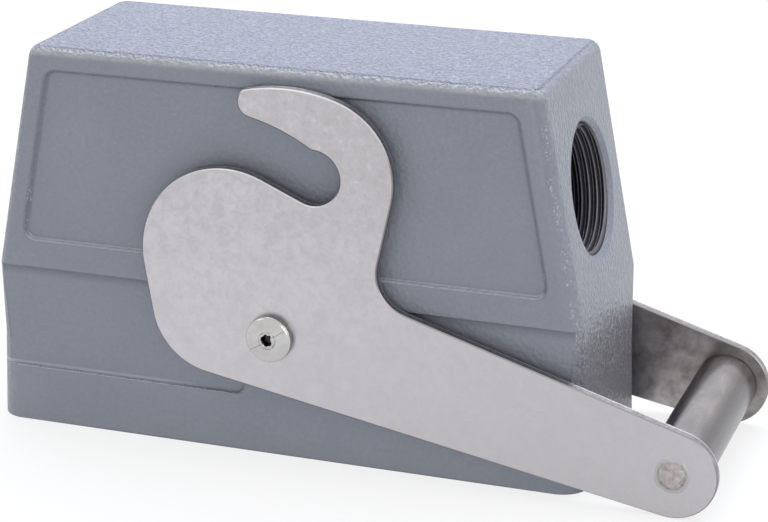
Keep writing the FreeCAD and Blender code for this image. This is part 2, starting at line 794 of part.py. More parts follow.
def make_insert():
    """The moulded contact insert: flange, shrouded mating side and terminal block."""
    body = new_body("insert_body")
    flange = new_sketch(body, "flange_outline", "XY_Plane", flange_foot)
    rounded_rectangle(flange, insert_length, insert_width, S.insert_corner)
    for x, y in screw_places:
        circle(flange, x, y, S.screw_diameter + S.screw_hole_clearance * 2)
    for side in (-1, 1):
        circle(flange, earth_screw_x * side, None, S.screw_diameter + S.screw_hole_clearance * 2)
    pad(body, "flange", flange, S.flange_thickness)
    mating = new_sketch(body, "mating_outline", "XY_Plane", S.mating_foot)
    rounded_rectangle(mating, block_length, mating_width, S.insert_corner)
    pad(body, "mating_block", mating, flange_foot - S.mating_foot)
    socket = new_sketch(body, "socket_outline", "XY_Plane", S.mating_foot)
    double_wall = S.shroud_wall * 2
    outline_rectangle(socket, block_length - double_wall, mating_width - double_wall)
    pocket(body, "socket", socket, S.socket_depth, backwards=True)
    terminals = new_sketch(body, "terminal_outline", "XY_Plane", S.insert_seat)
    outline_rectangle(terminals, block_length, terminal_width)
    pad(body, "terminal_block", terminals, S.terminal_rise)

    first_x, first_y = contact_places[0]
    barrel = new_sketch(body, "barrel_circle", "XY_Plane", terminal_top)
    circle(barrel, first_x, first_y, S.barrel_diameter + S.contact_clearance * 2)
    barrel_bore = pocket(body, "barrel_bore", barrel, terminal_top - barrel_foot)
    contact = new_sketch(body, "contact_circle", "XY_Plane", socket_floor)
    circle(contact, first_x, first_y, S.contact_diameter + S.contact_clearance * 2)
    contact_bore = pocket(body, "contact_bore", contact, S.socket_floor_thickness, backwards=True)
    pattern(body, "contact_bores", [barrel_bore, contact_bore], [CONTACT_ROW, OTHER_ROW])
    clamp = new_sketch(body, "clamp_circle", "XZ_Plane", terminal_width / 2)
    circle(clamp, first_x, clamp_height, S.clamp_diameter + S.contact_clearance * 2)
    clamp_bore = pocket(body, "clamp_bore", clamp, terminal_width / 2 - contact_y)
    pattern(body, "clamp_bores", [clamp_bore], [CONTACT_ROW, OTHER_ROW])
    return body


def outline_rectangle(sketch, length, width):
    x = length / 2
    y = width / 2
    outline(sketch, [(-x, -y), (x, -y), (x, y), (-x, y)])


def make_contact(number, x, y):
    """A turned contact: the pin below the insert's floor and the wire barrel above it."""
    body = new_body(f"contact_pin_{number:02d}")
    pin = S.contact_diameter / 2
    barrel = S.barrel_diameter / 2
    bore = S.wire_bore / 2
    bore_foot = barrel_top - S.wire_depth
    foot = S.mating_foot + S.contact_recess
    turned(body, "contact", "XZ_Plane", [
        (None, foot), (pin - S.contact_tip, foot),
        (pin, foot + S.contact_tip), (pin, barrel_foot), (barrel, barrel_foot),
        (barrel, barrel_top), (bore, barrel_top), (bore, bore_foot), (None, bore_foot)])
    bind(body, "Placement.Base.x", x)
    bind(body, "Placement.Base.y", y)
    return body


def make_terminal_screws():
    """The clamping screws of all contacts, one solid each, reaching in from both long sides."""
    body = new_body("terminal_screws")
    tip = contact_y + S.barrel_diameter / 2 + S.contact_clearance
    sketch = new_sketch(body, "screw_circle", "XZ_Plane", tip)
    circle(sketch, contact_places[0][0], clamp_height, S.clamp_diameter)
    screw = pad(body, "screw", sketch, S.clamp_length)
    pattern(body, "screws", [screw], [CONTACT_ROW, OTHER_ROW])
    return body


def slotted_screw(body, x, y, head_foot, head_top, shank_tip):
    """A cheese-head screw along Z. The head may lie above or below its shank."""
    head_up = head_top.number > head_foot.number
    head = new_sketch(body, "head_circle", "XY_Plane", head_foot)
    circle(head, x, y, S.screw_head_diameter)
    head_pad = pad(body, "head", head, S.screw_head_height, backwards=not head_up)
    shank = new_sketch(body, "shank_circle", "XY_Plane", head_foot)
    circle(shank, x, y, S.screw_diameter - S.fixed_clearance * 2)
    reach = head_foot - shank_tip if head_up else shank_tip - head_foot
    shank_pad = pad(body, "shank", shank, reach, backwards=head_up)
    slot = new_sketch(body, "slot_outline", "XY_Plane", head_top)
    half_length = S.screw_head_diameter / 2 + S.screw_slot_width
    half_width = S.screw_slot_width / 2
    low_y = -half_width if y is None else y - half_width
    high_y = half_width if y is None else y + half_width
    outline(slot, [(x - half_length, low_y), (x + half_length, low_y),
                   (x + half_length, high_y), (x - half_length, high_y)])
    slot_cut = pocket(body, "slot", slot, S.screw_slot_depth, backwards=not head_up)
    return [head_pad, shank_pad, slot_cut]


def make_insert_screws():
    """The four screws that hold the insert's flange up against the bosses."""
    body = new_body("insert_screws")
    parts = slotted_screw(body, screw_x, screw_y, flange_foot, flange_foot - S.screw_head_height,
                          flange_foot + S.screw_length)
    pattern(body, "screws", parts, [OTHER_END, OTHER_ROW])
    return body


def make_earth_plate(name, side):
    """A bent earth plate on one end of the flange."""
    body = new_body(name)
    sketch = new_sketch(body, "bent_section", "XZ_Plane")
    outer = insert_length / 2 - S.earth_setback
    inner = outer - S.earth_length
    foot = S.insert_seat
    thick = S.earth_thickness
    corners = [(inner, foot), (outer, foot), (outer, foot + thick), (inner + thick, foot + thick),
               (inner + thick, foot + S.earth_upstand), (inner, foot + S.earth_upstand)]
    radii = [S.earth_bend + thick, None, None, S.earth_bend, None, None]
    outline(sketch, [(x * side, y) for x, y in corners], radii)
    plate = pad(body, "plate", sketch, S.earth_width)
    plate.Midplane = True
    hole = new_sketch(body, "hole_circle", "XY_Plane")
    circle(hole, earth_screw_x * side, None, S.screw_diameter + S.fixed_clearance * 2)
    pocket(body, "hole", hole)
    return body


def make_earth_screws():
    body = new_body("earth_screws")
    plate_top = S.insert_seat + S.earth_thickness
    parts = slotted_screw(body, earth_screw_x, None, plate_top, plate_top + S.screw_head_height,
                          flange_foot)
    pattern(body, "screws", parts, [OTHER_END])
    return body


pieces = [
    make_hood(),
    make_pin("front_pivot_pin", 180),
    make_pin("rear_pivot_pin", 0),
    make_washer("front_pivot_washer", -1),
    make_washer("rear_pivot_washer", 1),
    make_arm("front_lever_arm", -1),
    make_arm("rear_lever_arm", 1),
    make_handle_bar(),
    make_insert(),
    make_terminal_screws(),
    make_insert_screws(),
    make_earth_plate("left_earth_plate", -1),
    make_earth_plate("right_earth_plate", 1),
    make_earth_screws(),
]
for number, (x, y) in enumerate(contact_places, start=1):
    pieces.append(make_contact(number, x, y))
doc.recompute()

for thing in doc.Objects:
    if "Invalid" in thing.State or "Error" in thing.State:
        raise RuntimeError(f"{thing.Name} failed: {thing.getStatusString()}")
    if thing.TypeId == "Sketcher::SketchObject" and not thing.FullyConstrained:
        raise RuntimeError(f"{thing.Name} is not fully constrained")
for piece in pieces:
    if piece.Shape.isNull() or not piece.Shape.isValid() or not piece.Shape.Solids:
        raise RuntimeError(f"{piece.Label} has no valid shape")

os.makedirs("parts", exist_ok=True)
for piece in pieces:
    piece.Shape.exportStep(f"parts/{piece.Label}.step")
    print(f"{piece.Label}: {len(piece.Shape.Solids)} solids, {piece.Shape.Volume:.1f} mm3")
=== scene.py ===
"""Looks and stage of a heavy duty rectangular connector hood with its locking lever.

Laid out as an add-on. Each piece or group of like pieces has an operator of its
own, and the sizes and colours that a user would change are properties of the scene.
"""

import json
import math

import bmesh
import bpy
from bpy.props import FloatProperty, FloatVectorProperty, IntProperty, PointerProperty
from mathutils import Matrix, Vector, noise

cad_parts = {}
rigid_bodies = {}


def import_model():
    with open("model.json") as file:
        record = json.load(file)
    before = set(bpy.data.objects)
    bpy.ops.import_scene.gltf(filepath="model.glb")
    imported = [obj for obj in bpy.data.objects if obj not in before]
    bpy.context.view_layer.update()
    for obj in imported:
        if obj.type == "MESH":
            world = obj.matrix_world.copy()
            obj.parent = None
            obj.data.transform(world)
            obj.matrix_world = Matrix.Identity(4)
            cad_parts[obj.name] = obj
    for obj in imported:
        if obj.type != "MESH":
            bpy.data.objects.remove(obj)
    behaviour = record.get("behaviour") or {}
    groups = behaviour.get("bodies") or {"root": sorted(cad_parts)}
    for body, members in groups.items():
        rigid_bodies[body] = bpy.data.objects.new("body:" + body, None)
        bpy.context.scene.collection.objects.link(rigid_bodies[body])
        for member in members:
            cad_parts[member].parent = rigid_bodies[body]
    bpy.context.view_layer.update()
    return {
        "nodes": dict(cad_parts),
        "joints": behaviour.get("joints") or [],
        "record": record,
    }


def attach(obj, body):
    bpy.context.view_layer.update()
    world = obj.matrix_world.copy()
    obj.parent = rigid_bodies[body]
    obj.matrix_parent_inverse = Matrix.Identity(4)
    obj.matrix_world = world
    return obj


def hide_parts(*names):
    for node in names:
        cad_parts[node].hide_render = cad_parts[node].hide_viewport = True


bl_info = {
    "name": "Rectangular Connector Hood",
    "version": (1, 0, 0),
    "blender": (4, 5, 0),
    "location": "3D View > Sidebar > Connector",
    "description": "Builds the looks of a rectangular connector hood with its locking lever",
    "category": "Object",
}

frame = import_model()
MM = 0.001
DOUBLES = 0.002 * MM
CROSSWISE = (0, 1, 0)

# Edges that turn more than this stay sharp
CREASE = math.radians(28)
HAMMERED_CREASE = math.radians(60)

HOOD = "hood"
LEVER = "lever"
BAR = "handle_bar"
ARMS = ("front_lever_arm", "rear_lever_arm")
PINS = ("front_pivot_pin", "rear_pivot_pin")
WASHERS = ("front_pivot_washer", "rear_pivot_washer")
EARTH_PLATES = ("left_earth_plate", "right_earth_plate")
SCREWS = ("terminal_screws", "insert_screws", "earth_screws")
CONTACTS = tuple(sorted(node for node in frame["nodes"] if node.startswith("contact_pin_")))

# Places on the hood, up from its rim or out from its middle
SHELF = 11.4 * MM
FAINT_BELOW = 16.0 * MM
SKIRT_TOP = 29.0 * MM
RIDGE = 32.0 * MM
PANEL_TOP = 69.5 * MM
TOP_EDGE = 72.6 * MM
SIDE_WALL = 15.5 * MM
FAINT_BEYOND = 46.0 * MM
END_CORNER = 50.5 * MM
BODY_END = 52.0 * MM
SKIRT_END = 58.0 * MM

# Faces round and across the turned shapes
PIN_TURN_STEPS = 72
PIN_RIM_STEPS = 6
PIN_FACE_STEPS = 8
RIVET_TURN_STEPS = 48
RIVET_DOME_STEPS = 12


def colour(name, description, default):
    """A colour that a user can change."""
    return FloatVectorProperty(
        name=name, description=description, subtype="COLOR", size=3, min=0, max=1, default=default
    )


def length(name, description, default):
    """A length that a user can change."""
    return FloatProperty(
        name=name, description=description, subtype="DISTANCE", unit="LENGTH", min=0, default=default
    )


def ratio(name, description, default):
    """A share from 0 to 1 that a user can change."""
    return FloatProperty(name=name, description=description, subtype="FACTOR", min=0, max=1, default=default)


class HoodLook(bpy.types.PropertyGroup):
    """Paint of the die-cast hood."""

    paint: colour("Paint", "Colour of the powder coat", (0.227, 0.241, 0.277))
    # Painted sky reflection: the colour that the top leans to
    painted_top_sheen: colour("Top tint", "Colour that the top leans to", (0.275, 0.286, 0.375))
    # Painted shade in the orange peel's pits and painted highlights on its crests
    pits: colour("Pits", "Colour in the pits of the orange peel", (0.115, 0.135, 0.190))
    crests: colour("Crests", "Colour on the crests of the orange peel", (0.380, 0.395, 0.500))
    # Painted glints and highlights along the edges and corners
    glint: colour("Worn edge", "Colour of the chalky specks along the edges", (0.385, 0.39, 0.38))
    # Painted reflection of the lever, low on the end wall
    lever_reflection: colour("Dull patch", "Colour of the patch low on the end wall", (0.124, 0.106, 0.128))
    sheen: colour("Sheen", "Colour of what the paint mirrors", (0.72, 0.83, 1.0))
    gloss: ratio("Roughness", "Roughness of the paint", 0.36)
    ripple_size: length("Ripple size", "Width of the coat's orange peel", 0.9 * MM)
    ripple_height: length("Ripple height", "Height of the orange peel on the top", 0.36 * MM)
    calm_height: length("Calm height", "Height of the orange peel on the sides", 0.07 * MM)
    grain_size: length("Grain size", "Width of the coat's fine grain", 0.38 * MM)
    grain_height: length("Grain height", "Height of the fine grain", 0.02 * MM)
    edge_radius: length("Edge radius", "How far the coat rounds the edges under it", 0.3 * MM)
    rim_softness: length("Rim softness", "How wide the shade runs out along the panels' rims", 0.8 * MM)
    ridge: length("Ridge", "Height of the ridge round the hood, with a shadow line below", RIDGE)
    # Height of the painted highlight line at the relief's foot
    shelf: length("Shelf", "Height of the pale line at the foot of the relief", SHELF)


class ThreadLook(bpy.types.PropertyGroup):
    """Thread cut into the cable entry."""

    pitch: length("Pitch", "Distance from one ridge to the next", 1.5 * MM)
    depth: length("Depth", "Height of the ridges", 0.85 * MM)
    points: IntProperty(name="Points", description="Faces across one ridge", min=4, default=12)
    steps: IntProperty(name="Steps", description="Faces round one turn", min=24, default=96)
    # Painted shade: the bore is painted dark deeper than this
    reach: length("Clean length", "How deep the thread is lit before the bore goes dark", 4.1 * MM)
    metal: colour("Metal", "Colour of the ridges", (0.155, 0.147, 0.160))
    # Painted shade in the grooves
    groove_shade: colour("Grime", "Colour of the grooves", (0.032, 0.030, 0.040))


class LeverLook(bpy.types.PropertyGroup):
    """Metal of the lever, its bar and its pivots."""

    arm: colour("Arm", "Colour of the stamped arms", (0.565, 0.545, 0.572))
    # Darker colour of the arms towards the hook and the bar, and round the staked ends
    darker_face: colour("Dulled face", "Colour of the arms towards the hook and the bar", (0.43, 0.415, 0.425))
    patch: colour("Patch", "Colour of the patches on the arms", (0.43, 0.405, 0.40))
    # Painted shade on the arms' inner faces, blotched
    inner_shade: colour("Stained face", "Colour of the arms' inner faces", (0.330, 0.310, 0.310))
    # Painted warm reflection of the bar on the inner faces
    bar_reflection: colour("Soiled face", "Colour of the inner faces round the bar", (0.25, 0.225, 0.20))
    sheared: colour("Sheared edge", "Colour of the arms' cut edges", (0.285, 0.273, 0.280))
    # Painted highlight on the arms' corners that look up
    bright: colour("Bright corner", "Colour of the arms' corners that look up", (0.66, 0.65, 0.66))
    bar: colour("Bar", "Colour of the handle bar", (0.330, 0.315, 0.325))
    bar_stain: colour("Bar stain", "Colour of the stains on the handle bar", (0.42, 0.37, 0.33))
    rivet: colour("Rivet", "Colour of the staked bar ends", (0.410, 0.380, 0.370))
    pin: colour("Pin", "Colour of the polished pivot pins", (0.530, 0.518, 0.512))
    washer: colour("Washer", "Colour of the pivots' washers", (0.5, 0.5, 0.5))
    mottle_size: length("Mottle size", "Width of the blotches on the arms", 4.5 * MM)
    rivet_radius: length("Rivet radius", "Radius of the staked bar ends", 3.4 * MM)
    rivet_height: length("Rivet height", "How far the staked ends stand out of the arms", 0.38 * MM)
    head_dome: length("Head dome", "How far the pins' faces fall towards their rims", 0.5 * MM)
    head_rounding: length("Head rounding", "Width of the rounded rims of the pins' heads", 0.9 * MM)
    hole_radius: length("Hole radius", "Radius of the centre holes in the pins' heads", 1.15 * MM)


class InsertLook(bpy.types.PropertyGroup):
    """Contact insert and its metal parts."""

    plastic: colour("Plastic", "Colour of the moulded insert", (0.410, 0.405, 0.380))
    silver: colour("Silver", "Colour of the plated contacts", (0.780, 0.760, 0.710))
    zinc: colour("Zinc", "Colour of the plated screws and earth plates", (0.560, 0.560, 0.580))


class StageLook(bpy.types.PropertyGroup):
    """Camera, floor and light."""

    camera_place: FloatVectorProperty(
        name="Camera place",
        description="Where the camera stands",
        subtype="XYZ",
        unit="LENGTH",
        size=3,
        default=(0.16115, -0.42573, 0.18866),
    )
    camera_turn: FloatVectorProperty(
        name="Camera turn",
        description="Pitch from straight down, turn about up, and roll",
        subtype="EULER",
        unit="ROTATION",
        size=3,
        default=(math.radians(70.473), math.radians(20.139), math.radians(-0.168)),
    )
    lens: FloatProperty(name="Lens", description="Focal length in millimetres", min=1, default=115.78)
    shift: FloatVectorProperty(
        name="Shift", description="Sideways and upward lens shift", size=2, default=(0.0562, 0.0311)
    )
    world_light: FloatProperty(name="World", description="Strength of the even light", min=0, default=0.6)
    floor: colour("Floor", "Colour of the floor", (0.86, 0.86, 0.87))
    floor_white: ratio("Floor white", "Share of plain white in the floor that is seen", 0.78)
    floor_glow: ratio("Floor glow", "Share of plain white in the light that the floor throws back", 0.5)


# Shapes


def piece_from(work, name, body, material, replaced=()):
    """Make a finished object of a bmesh, riding on a body."""
    mesh = bpy.data.meshes.new(name)
    work.to_mesh(mesh)
    work.free()
    mesh.materials.append(material)
    thing = bpy.data.objects.new(name, mesh)
    bpy.context.scene.collection.objects.link(thing)
    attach(thing, body)
    if replaced:
        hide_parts(*replaced)


def merged_copy(node):
    """A bmesh of a CAD node with its loose triangles joined up."""
    work = bmesh.new()
    work.from_mesh(frame["nodes"][node].data)
    bmesh.ops.remove_doubles(work, verts=work.verts, dist=DOUBLES)
    return work


def smooth_by_angle(work, limit=CREASE):
    """Shade the faces smooth, and keep the edges that turn more than the limit sharp."""
    for face in work.faces:
        face.smooth = True
    for edge in work.edges:
        edge.smooth = edge.calc_face_angle(0.0) < limit


def finish_node(node, name, body, material):
    """Put a smooth copy of a CAD node with its finish in the node's place."""
    work = merged_copy(node)
    smooth_by_angle(work)
    piece_from(work, name, body, material, [node])


def places_of(node):
    """Where a CAD node's points lie."""
    return [vert.co for vert in frame["nodes"][node].data.vertices]


def middle_of(node):
    """The middle of a CAD node's box."""
    middle = []
    for axis in range(3):
        along = [co[axis] for co in places_of(node)]
        middle.append((min(along) + max(along)) / 2)
    return Vector(middle)


def farthest_out(node):
    """How far a CAD node reaches from the hood's middle plane, to the front or the rear."""
    return max(abs(co.y) for co in places_of(node))


def cut_off(work, place, way, closed=True):
    """Cut away what lies beyond a plane, and close the cut unless it is to stay open."""
    cut = bmesh.ops.bisect_plane(
        work,
        geom=work.verts[:] + work.edges[:] + work.faces[:],
        dist=DOUBLES / 10,
        plane_co=place,
        plane_no=way,
        clear_outer=True,
        clear_inner=False,
    )
    if closed:
        rim = [item for item in cut["geom_cut"] if isinstance(item, bmesh.types.BMEdge)]
        bmesh.ops.holes_fill(work, edges=rim, sides=0)


def lathe(profile, side, steps):
    """Spin a profile of (radius, height) points about the Y axis, its heights towards that side."""
    work = bmesh.new()
    points = [work.verts.new((radius, 0.0, height)) for radius, height in profile]
    lines = [work.edges.new(pair) for pair in zip(points, points[1:])]
    bmesh.ops.spin(
        work,
        geom=points + lines,
        cent=(0, 0, 0),
        axis=(0, 0, 1),
        dvec=(0, 0, 0),
        angle=math.tau,
        steps=steps,
        use_merge=True,
        use_duplicate=False,
    )
    bmesh.ops.remove_doubles(work, verts=work.verts, dist=DOUBLES)
    bmesh.ops.transform(work, matrix=Matrix.Rotation(math.radians(-90 * side), 4, "X"), verts=work.verts)
    bmesh.ops.recalc_face_normals(work, faces=work.faces)
    return work


def domed_head(look, radius, height, side):
    """A pin's head with a gently domed face, a rounded rim and a ragged centre hole."""
    corner = look.head_rounding
    drop = look.head_dome
    hole = look.hole_radius
    throat = hole * 0.85
    bottom = hole * 0.75
    bottom_height = height * 0.4
    chamfer = 0.3 * MM
    notch_size = 0.8 * MM
    notch_depth = 0.55
    notch_reach = 1.9
    rim = radius - corner
    points = [(0.0, 0.0), (radius, 0.0)]
    for step in range(PIN_RIM_STEPS + 1):
        turn = math.radians(90 * step / PIN_RIM_STEPS)
        points.append((rim + corner * math.cos(turn), height - drop - corner * (1 - math.sin(turn)) / 2))
    for step in range(1, PIN_FACE_STEPS + 1):
        reach = rim + (hole - rim) * step / PIN_FACE_STEPS
        points.append((reach, height - drop * (reach / rim) ** 2))
    points += [(throat, height - chamfer), (bottom, bottom_height), (0.0, bottom_height)]
    work = lathe(points, side, PIN_TURN_STEPS)
    for vert in work.verts:
        reach = math.hypot(vert.co.x, vert.co.z)
        if DOUBLES < reach and abs(vert.co.y) > height * 0.45:
            near_hole = min(1.0, max(0.0, notch_reach - reach / hole))
            notch = noise.noise(Vector((vert.co.x, 0, vert.co.z)) / notch_size)
            ragged = 1 + notch_depth * near_hole * notch
            vert.co.x *= ragged
            vert.co.z *= ragged
    return work


def hammered_head(look, side):
    """A staked end: a low, slightly square dome with dents from the hammer."""
    height = look.rivet_height
    radius = look.rivet_radius
    buried = -0.2 * MM
    foot = radius * 0.8
    squareness = 0.03
    square_turn = 0.6
    bulge_size = 2.2 * MM
    bulge_height = 0.06
    dent_size = 1.3 * MM
    points = [(0.0, buried), (foot, buried), (radius, 0.0)]
    for step in range(1, RIVET_DOME_STEPS + 1):
        rest = 1 - step / RIVET_DOME_STEPS
        points.append((radius * rest, height * (1 - rest ** 2)))
    work = lathe(points, side, RIVET_TURN_STEPS)
    for vert in work.verts:
        turn = math.atan2(vert.co.z, vert.co.x)
        square = 1 - squareness * math.cos(4 * turn + square_turn)
        bulge = 1 + bulge_height * noise.noise(vert.co / bulge_size + Vector((side, 0, 0)))
        vert.co.x *= square * bulge
        vert.co.z *= square * bulge
        if vert.co.y * side > 0:
            dent = min(0.5, abs(noise.noise(vert.co / dent_size)))
            vert.co.y *= 0.7 + 0.6 * dent
    return work


def cut_thread(look, root, wall):
    """A thread about the Z axis whose ridges point inwards, cut level where the wall ends."""
    lean = 1.25
    turns = math.ceil(wall / look.pitch) + 2
    start = -turns * look.pitch / 2
    work = bmesh.new()
    ridge = []
    for point in range(look.points + 1):
        share = point / look.points
        swell = 0.5 - 0.5 * math.cos(math.tau * share ** lean)
        ridge.append(work.verts.new((root - look.depth * swell, 0, start + look.pitch * (share - 0.5))))
    lines = [work.edges.new(pair) for pair in zip(ridge, ridge[1:])]
    bmesh.ops.spin(
        work,
        geom=ridge + lines,
        cent=(0, 0, 0),
        axis=(0, 0, 1),
        dvec=(0, 0, look.pitch / look.steps),
        angle=math.tau * turns,
        steps=look.steps * turns,
        use_merge=False,
        use_duplicate=False,
    )
    bmesh.ops.remove_doubles(work, verts=work.verts, dist=DOUBLES)
    for way in (-1, 1):
        cut_off(work, (0, 0, way * wall / 2), (0, 0, way), closed=False)
    bmesh.ops.recalc_face_normals(work, faces=work.faces)
    outward = sum(face.normal.dot(face.calc_center_median() * Vector((1, 1, 0))) for face in work.faces)
    if outward > 0:
        bmesh.ops.reverse_faces(work, faces=work.faces)
    smooth_by_angle(work)
    return work


# Materials


def new_material(name):
    """A material with one shader. Returns it with its tree, shader and own coordinates."""
    material = bpy.data.materials.new(name)
    material.use_nodes = True
    tree = material.node_tree
    tree.nodes.clear()
    output = tree.nodes.new("ShaderNodeOutputMaterial")
    shader = tree.nodes.new("ShaderNodeBsdfPrincipled")
    place = tree.nodes.new("ShaderNodeTexCoord")
    tree.links.new(shader.outputs["BSDF"], output.inputs["Surface"])
    return material, tree, shader, place.outputs["Object"]


def set_or_link(tree, socket, value):
    """Give an input a value, which is another node's output or a number."""
    if isinstance(value, bpy.types.NodeSocket):
        tree.links.new(value, socket)
    else:
        socket.default_value = value


def coat(tree, shader, shade, rough, relief=None, metallic=1.0):
    """Give a shader its colour, its roughness and its relief, and say how metallic it is."""
    tree.links.new(shade, shader.inputs["Base Color"])
    tree.links.new(rough, shader.inputs["Roughness"])
    if relief is not None:
        tree.links.new(relief, shader.inputs["Normal"])
    shader.inputs["Metallic"].default_value = metallic


def stretched(tree, place, scale, centre=(0, 0, 0)):
    """Coordinates about a centre, scaled along each axis."""
    mapping = tree.nodes.new("ShaderNodeMapping")
    mapping.vector_type = "POINT"
    mapping.inputs["Scale"].default_value = scale
    mapping.inputs["Location"].default_value = [-c * s for c, s in zip(centre, scale)]
    tree.links.new(place, mapping.inputs["Vector"])
    return mapping.outputs["Vector"]


def blotches(tree, place, size, detail=2.0, rough=0.5, distortion=0.0):
    """Noise from 0 to 1 whose blotches have about that size."""
    texture = tree.nodes.new("ShaderNodeTexNoise")
    texture.inputs["Scale"].default_value = 1.0 / size
    texture.inputs["Detail"].default_value = detail
    texture.inputs["Roughness"].default_value = rough
    texture.inputs["Distortion"].default_value = distortion
    tree.links.new(place, texture.inputs["Vector"])
    return texture.outputs[0]


def ranged(tree, value, low, high, new_low=0.0, new_high=1.0, kind="LINEAR"):
    """Map a value from one range to another, and stop at its ends."""
    node = tree.nodes.new("ShaderNodeMapRange")
    node.interpolation_type = kind
    node.clamp = True
    node.inputs["From Min"].default_value = low
    node.inputs["From Max"].default_value = high
    node.inputs["To Min"].default_value = new_low
    node.inputs["To Max"].default_value = new_high
    tree.links.new(value, node.inputs["Value"])
    return node.outputs["Result"]


def beyond(tree, value, place, blur):
    """0 short of a place and 1 beyond it, and blurred that far each way."""
    return ranged(tree, value, place - blur, place + blur)


def short_of(tree, value, place, blur):
    """1 short of a place and 0 beyond it, and blurred that far each way."""
    return ranged(tree, value, place - blur, place + blur, 1.0, 0.0)


def combined(tree, kind, *values):
    """Two or more values put together by one kind of arithmetic, each a socket or a number."""
    result = values[0]
    for value in values[1:]:
        node = tree.nodes.new("ShaderNodeMath")
        node.operation = kind
        set_or_link(tree, node.inputs[0], result)
        set_or_link(tree, node.inputs[1], value)
        result = node.outputs[0]
    return result


def product(tree, *values):
    """Two or more values multiplied."""
    return combined(tree, "MULTIPLY", *values)


def unsigned(tree, value):
    """A value without its sign."""
    return combined(tree, "ABSOLUTE", value, 0.0)


def between(tree, share, first, second):
    """A value that goes from the first to the second as share goes from 0 to 1."""
    change = combined(tree, "SUBTRACT", second, first)
    return combined(tree, "ADD", first, product(tree, share, change))


def mixed(tree, share, first, second):
    """A colour between two others, each a socket or three numbers."""
    node = tree.nodes.new("ShaderNodeMix")
    node.data_type = "RGBA"
    tree.links.new(share, node.inputs["Factor"])
    for name, value in (("A", first), ("B", second)):
        socket = next(s for s in node.inputs if s.name == name and s.type == "RGBA")
        set_or_link(tree, socket, value if isinstance(value, bpy.types.NodeSocket) else (*value, 1.0))
    return next(s for s in node.outputs if s.type == "RGBA")


def tinted(base, factor):
    """A colour made lighter or darker."""
    return tuple(min(1.0, channel * factor) for channel in base)


def varied(tree, share, base, low, high):
    """A colour that goes from darker to lighter as share goes from 0 to 1."""
    return mixed(tree, share, tinted(base, low), tinted(base, high))


def raised(tree, height, distance, under=None):
    """A bump whose highest places stand that far out, by a socket or a number."""
    node = tree.nodes.new("ShaderNodeBump")
    set_or_link(tree, node.inputs["Distance"], distance)
    tree.links.new(height, node.inputs["Height"])
    if under is not None:
        tree.links.new(under, node.inputs["Normal"])
    return node.outputs["Normal"]


def parts_of(tree, vector):
    """The three numbers of a vector."""
    parts = tree.nodes.new("ShaderNodeSeparateXYZ")
    tree.links.new(vector, parts.inputs["Vector"])
    return [parts.outputs[axis] for axis in "XYZ"]


def direction(tree):
    """Which way the surface looks along each of the object's axes."""
    own = tree.nodes.new("ShaderNodeTexCoord")
    return parts_of(tree, own.outputs["Normal"])


def facing(tree):
    """How far the surface looks along each of the object's axes, either way."""
    return [unsigned(tree, part) for part in direction(tree)]


def rounded_edges(tree, radius):
    """The surface's direction as if its edges were rounded."""
    node = tree.nodes.new("ShaderNodeBevel")
    node.samples = 6
    node.inputs["Radius"].default_value = radius
    return node.outputs["Normal"]


def soft_bend(tree, radius):
    """How far the surface bends sideways and upwards within the radius, from a bevelled normal."""
    turn = tree.nodes.new("ShaderNodeVectorTransform")
    turn.vector_type = "NORMAL"
    turn.convert_from = "WORLD"
    turn.convert_to = "OBJECT"
    tree.links.new(rounded_edges(tree, radius), turn.inputs["Vector"])
    bent_x, _, bent_z = parts_of(tree, turn.outputs["Vector"])
    own_x, _, own_z = direction(tree)
    sideways = unsigned(tree, combined(tree, "SUBTRACT", bent_x, own_x))
    return sideways, combined(tree, "SUBTRACT", bent_z, own_z)


def about_axis(tree, place, centre, way):
    """Distance of a place from an axis, and how far along the axis it lies from the centre."""
    gap = tree.nodes.new("ShaderNodeVectorMath")
    gap.operation = "SUBTRACT"
    gap.inputs[1].default_value = centre
    tree.links.new(place, gap.inputs[0])
    results = []
    for kind in ("CROSS_PRODUCT", "DOT_PRODUCT"):
        node = tree.nodes.new("ShaderNodeVectorMath")
        node.operation = kind
        node.inputs[1].default_value = way
        tree.links.new(gap.outputs[0], node.inputs[0])
        results.append(node)
    reach = tree.nodes.new("ShaderNodeVectorMath")
    reach.operation = "LENGTH"
    tree.links.new(results[0].outputs["Vector"], reach.inputs[0])
    return reach.outputs["Value"], results[1].outputs["Value"]


